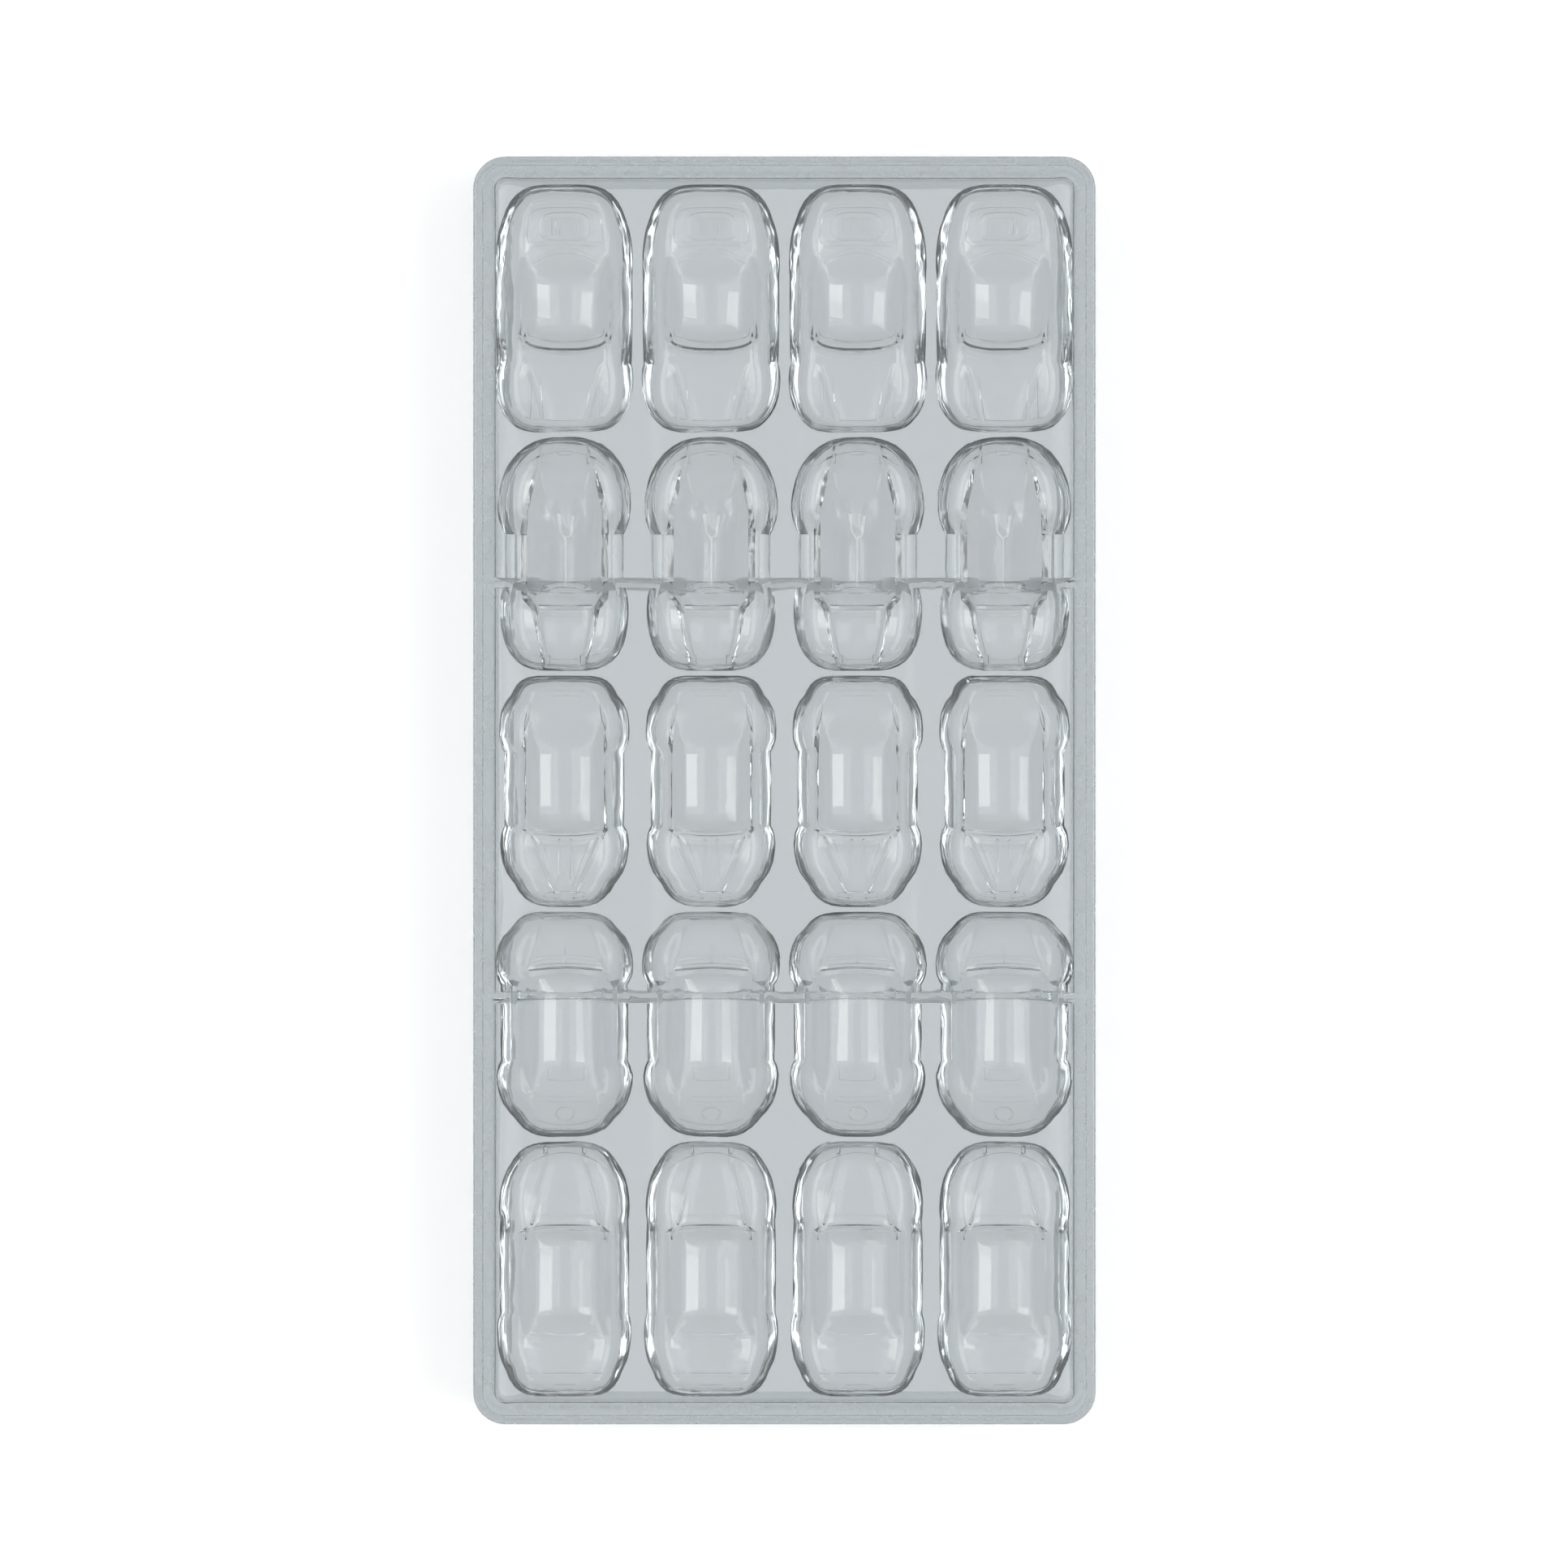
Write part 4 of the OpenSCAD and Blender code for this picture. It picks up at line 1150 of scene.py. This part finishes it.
@dataclass
class Mould:
    """The whole mould: frame, shells and cavities, joined into one solid."""

    columns: int = 4
    column_pitch: float = 31.8
    row_gap: float = 0.8
    wall: float = 2.5
    end_wall: float = 1.1
    rim_radius: float = 0.22
    level_share: float = 0.9998
    rib_play: float = 0.05
    sharp_angle: float = 28.0
    parts: Frame = field(default_factory=Frame)
    cars: list[Car] = field(default_factory=lambda: [coupe(), tourer(), roadster(), compact(), cruiser()])

    def rows(self) -> np.ndarray:
        """Middles of the rows: shell after shell with equal gaps, centred.

        Returns:
            The middles along the mould, in millimetres.
        """
        lengths = np.array([c.length + 2.0 * self.end_wall for c in self.cars])
        total = lengths.sum() + (len(lengths) - 1) * self.row_gap
        before = np.concatenate([[0.0], np.cumsum(lengths + self.row_gap)[:-1]])
        return total / 2.0 - before - lengths / 2.0

    def places(self, row: int) -> list[tuple[float, float, float]]:
        """Where the four cars of a row sit."""
        xs = (np.arange(self.columns) - (self.columns - 1) / 2.0) * self.column_pitch
        return [(float(x), float(self.rows()[row]), MOULD_H) for x in xs]

    def build(self) -> bpy.types.Object:
        """Make the mould: body, plus shells, less cavities.

        Returns:
            The mould's object.
        """
        made = self.parts.build()
        rim_z = -self.parts.plate_t / 2.0
        shells = []
        for row, car in enumerate(self.cars):
            shell = car.shell(self.wall, self.end_wall, rim_z)
            shells += [shell.moved(*p, car.heading.value) for p in self.places(row)]
        combine(made, joined(shells).as_object("shells"), Join.ADD)
        for row, car in enumerate(self.cars):
            pattern = car.cavity(self.rim_radius)
            cut = self.as_solid(pattern)
            cutters = joined([cut.moved(*p, car.heading.value) for p in self.places(row)])
            combine(made, cutters.as_object(f"row_{car.name}"), Join.CUT)
            log.info("%s cavities cut: %d triangles each", car.name, len(cut.triangles))
        made.name = made.data.name = "chocolate_mould"
        return made

    @staticmethod
    def as_solid(pattern: bpy.types.Object) -> Solid:
        """Read an object's triangles back into a solid, and delete the object.

        Args:
            pattern: the object, which is deleted.

        Returns:
            The solid, in millimetres.
        """
        mesh = pattern.data
        mesh.calc_loop_triangles()
        points = np.empty(3 * len(mesh.vertices), np.float32)
        mesh.vertices.foreach_get("co", points)
        triangles = np.empty(3 * len(mesh.loop_triangles), np.int32)
        mesh.loop_triangles.foreach_get("vertices", triangles)
        bpy.data.objects.remove(pattern)
        bpy.data.meshes.remove(mesh)
        return Solid(points.reshape(-1, 3).astype(float) / MM, triangles.reshape(-1, 3))

    def dress(self, made: bpy.types.Object) -> None:
        """Shade it smooth apart from its flat faces and give it its plastic.

        Args:
            made: the mould's object.
        """
        mesh = made.data
        count = len(mesh.polygons)
        way, middle = np.empty(3 * count, np.float32), np.empty(3 * count, np.float32)
        mesh.polygons.foreach_get("normal", way)
        mesh.polygons.foreach_get("center", middle)
        way, middle = way.reshape(-1, 3), middle.reshape(-1, 3) / MM
        level = np.abs(way[:, 2]) > self.level_share
        rib = np.abs(np.abs(middle[:, 1]) - self.parts.rib_y) < self.parts.rib_t / 2.0 + self.rib_play
        side = rib & (np.abs(way[:, 1]) > self.level_share)
        mesh.polygons.foreach_set("use_smooth", ~(level | side))
        mesh.set_sharp_from_angle(angle=np.radians(self.sharp_angle))
        mesh.materials.clear()
        mesh.materials.append(ClearPolycarbonate().material())
        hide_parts("mould")
        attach(made, "root")


@dataclass(frozen=True)
class Panel:
    """A bright panel of the room: its level, bearing, height and half sizes.

    Bearing and height are degrees, from +X and from the floor. Half sizes are sines of
    the angles from its middle to its edges.
    """

    level: float
    bearing: float
    elevation: float
    half_w: float
    half_h: float
    softness: float = 0.05
    horizon: float = 0.01

    def axes(self) -> tuple[tuple[float, float, float], ...]:
        """Unit directions along its width, up its height and to its middle.

        Returns:
            The three directions.
        """
        b, e = np.radians(self.bearing), np.radians(self.elevation)
        return ((-np.sin(b), np.cos(b), 0.0), (-np.sin(e) * np.cos(b), -np.sin(e) * np.sin(b), np.cos(e)),
                (np.cos(e) * np.cos(b), np.cos(e) * np.sin(b), np.sin(e)))

    def mask(self, graph: Graph, way: bpy.types.NodeSocket) -> bpy.types.NodeSocket:
        """Where the panel is seen, from 0 to 1.

        That is where the direction's parts along the panel's width and height are small
        and its part towards the panel's middle is positive.

        Args:
            graph: the world's nodes.
            way: the direction looked in.

        Returns:
            The output that carries the mask.
        """
        side, up, front = (self.part(graph, way, axis) for axis in self.axes())
        wide = graph.step(graph.maths("ABSOLUTE", side), self.half_w, self.half_w + self.softness, 1.0, 0.0)
        tall = graph.step(graph.maths("ABSOLUTE", up), self.half_h, self.half_h + self.softness, 1.0, 0.0)
        ahead = graph.step(front, 0.0, self.horizon)
        return graph.maths("MULTIPLY", graph.maths("MULTIPLY", wide, tall), ahead)

    @staticmethod
    def part(graph: Graph, way: bpy.types.NodeSocket, axis: Sequence[float]) -> bpy.types.NodeSocket:
        """The direction's part along an axis.

        Args:
            graph: the world's graph.
            way: the ray's direction.
            axis: the axis.

        Returns:
            The part's output.
        """
        made = graph.nodes.new("ShaderNodeVectorMath")
        made.operation = "DOT_PRODUCT"
        made.inputs[1].default_value = axis
        graph.link(way, made.inputs[0])
        return made.outputs["Value"]


@dataclass(frozen=True)
class Lamp:
    """A soft rectangular lamp: place and sides in millimetres, power in watts."""

    name: str
    at: tuple[float, float, float]
    size: tuple[float, float]
    power: float

    def build(self, aim_z: float) -> None:
        """Make the lamp, turned to the mould's middle at that height.

        Args:
            aim_z: height of the point that it is turned to, in metres.
        """
        light = bpy.data.lights.new(self.name, "AREA")
        light.shape = "RECTANGLE"
        light.size, light.size_y = self.size[0] * MM, self.size[1] * MM
        light.energy = self.power
        made = bpy.data.objects.new(self.name, light)
        made.location = Vector(self.at) * MM
        way = Vector((0.0, 0.0, aim_z)) - Vector(self.at)
        made.rotation_euler = way.to_track_quat("-Z", "Y").to_euler()
        bpy.context.scene.collection.objects.link(made)


@dataclass
class Studio:
    """A pale floor, soft lamps, a room of light and an overhead camera, in millimetres."""

    image_w: int = 1932
    image_h: int = 1931
    px_per_mm: float = 5.685
    scale_z: float = 21.5
    camera_z: float = 1124.0
    centre_px: tuple[float, float] = (966.5, 974.0)
    sensor: float = 36.0
    floor_half: float = 3000.0
    floor_drop: float = 0.05
    floor_shade: float = 0.8
    floor_lift: float = 0.35
    aim_z: float = 10.0
    lamps: tuple[Lamp, ...] = (
        Lamp("softbox_left", (-950.0, 200.0, 1100.0), (450.0, 600.0), 0.8),
        Lamp("softbox_right", (950.0, -60.0, 1100.0), (450.0, 700.0), 1.2))
    wall_shades: Shades = ((0.0, 0.35), (0.4, 0.42), (0.9, 0.72))
    panels: tuple[Panel, ...] = (
        Panel(1.7, 0.0, 16.0, 0.75, 0.22), Panel(1.7, 180.0, 16.0, 0.75, 0.22),
        Panel(3.0, -4.0, 49.0, 0.20, 0.22), Panel(2.4, 168.0, 49.0, 0.18, 0.18))
    cool_share: float = 1.01
    tent_shades: Shades = ((0.0, 1.3), (0.5, 2.0), (0.8, 3.0))
    tent_panels: tuple[Panel, ...] = (
        Panel(6.0, 0.0, 60.0, 0.45, 0.28), Panel(6.0, 180.0, 60.0, 0.45, 0.28))

    def floor(self) -> None:
        """A wide pale floor that shows white and keeps the mould's shadow.

        To the camera it is matt and glows a little; to mirrored and bent rays it is white.
        """
        h = self.floor_half
        corners = np.array([[-h, -h, 0.0], [h, -h, 0.0], [h, h, 0.0], [-h, h, 0.0]])
        corners[:, 2] -= self.floor_drop
        plane = Solid(corners, np.array([[0, 1, 2], [0, 2, 3]])).as_object("floor")
        made = bpy.data.materials.new("pale_floor")
        made.use_nodes = True
        made.node_tree.nodes.clear()
        graph = Graph(made.node_tree)
        ray = graph.node("LightPath").outputs
        matt = graph.node("BsdfDiffuse", Color=(self.floor_shade, self.floor_shade, self.floor_shade, 1.0))
        lift = graph.maths("MULTIPLY", ray["Is Camera Ray"], self.floor_lift)
        glow = graph.node("Emission", Strength=lift)
        lit = graph.nodes.new("ShaderNodeAddShader")
        graph.link(matt.outputs[0], lit.inputs[0])
        graph.link(glow.outputs[0], lit.inputs[1])
        shown = graph.nodes.new("ShaderNodeMixShader")
        seen_by = graph.maths("MAXIMUM", ray["Is Glossy Ray"], ray["Is Transmission Ray"])
        graph.link(seen_by, shown.inputs[0])
        graph.link(lit.outputs[0], shown.inputs[1])
        graph.link(graph.node("Emission").outputs[0], shown.inputs[2])
        graph.node("OutputMaterial", Surface=shown.outputs[0])
        plane.data.materials.append(made)

    def light(self) -> None:
        """The lamps, and a room that bent rays see as a bright tent."""
        for lamp in self.lamps:
            lamp.build(self.aim_z)
        world = bpy.data.worlds.new("room")
        bpy.context.scene.world = world
        world.use_nodes = True
        graph = Graph(world.node_tree)
        way = graph.node("TexCoord").outputs["Generated"]
        room = self.room(graph, way, self.wall_shades, self.panels)
        tent = self.room(graph, way, self.tent_shades, self.tent_panels)
        bent = graph.node("LightPath").outputs["Is Transmission Ray"]
        graph.link(graph.mix(bent, room, tent), graph.nodes["Background"].inputs["Color"])

    def room(self, graph: Graph, way: bpy.types.NodeSocket, shades: Shades,
             panels: tuple[Panel, ...]) -> bpy.types.NodeSocket:
        """Walls whose shade goes with height, with bright panels.

        Args:
            graph: the world's nodes.
            way: the direction looked in.
            shades: upward parts of a direction, each with a shade.
            panels: the bright panels.

        Returns:
            The room's colour.
        """
        walls = graph.nodes.new("ShaderNodeValToRGB")
        while len(walls.color_ramp.elements) < len(shades):
            walls.color_ramp.elements.new(1.0)
        for stop, (height, shade) in zip(walls.color_ramp.elements, shades):
            stop.position, stop.color = height, (shade, shade, self.cool_share * shade, 1.0)
        graph.link(graph.node("SeparateXYZ", Vector=way).outputs["Z"], walls.inputs[0])
        colour = walls.outputs[0]
        for panel in panels:
            colour = graph.mix(panel.mask(graph, way), colour, (panel.level, panel.level, panel.level, 1.0))
        return colour

    def camera(self) -> None:
        """The overhead camera: width seen is the image's width at the scale's plane."""
        distance = self.camera_z - self.scale_z
        data = bpy.data.cameras.new("overhead")
        data.sensor_width = self.sensor
        data.lens = data.sensor_width * distance / (self.image_w / self.px_per_mm)
        data.clip_start, data.clip_end = 0.01, 100.0
        made = bpy.data.objects.new("overhead", data)
        x = -(self.centre_px[0] - self.image_w / 2.0) / self.px_per_mm
        y = (self.centre_px[1] - self.image_h / 2.0) / self.px_per_mm
        made.location = Vector((x, y, self.camera_z)) * MM
        bpy.context.scene.collection.objects.link(made)
        bpy.context.scene.camera = made

    def build(self) -> None:
        """Set up floor, lamps, room and camera."""
        self.floor()
        self.light()
        self.camera()
        bpy.context.scene.view_settings.view_transform = "Standard"


def main() -> None:
    """Build the mould and the studio."""
    logging.basicConfig(level=logging.INFO, format="%(name)s: %(message)s")
    mould = Mould()
    made = mould.build()
    mould.dress(made)
    made.data.calc_loop_triangles()
    log.info("mould: %d triangles", len(made.data.loop_triangles))
    Studio().build()


if __name__ == "__main__":
    main()
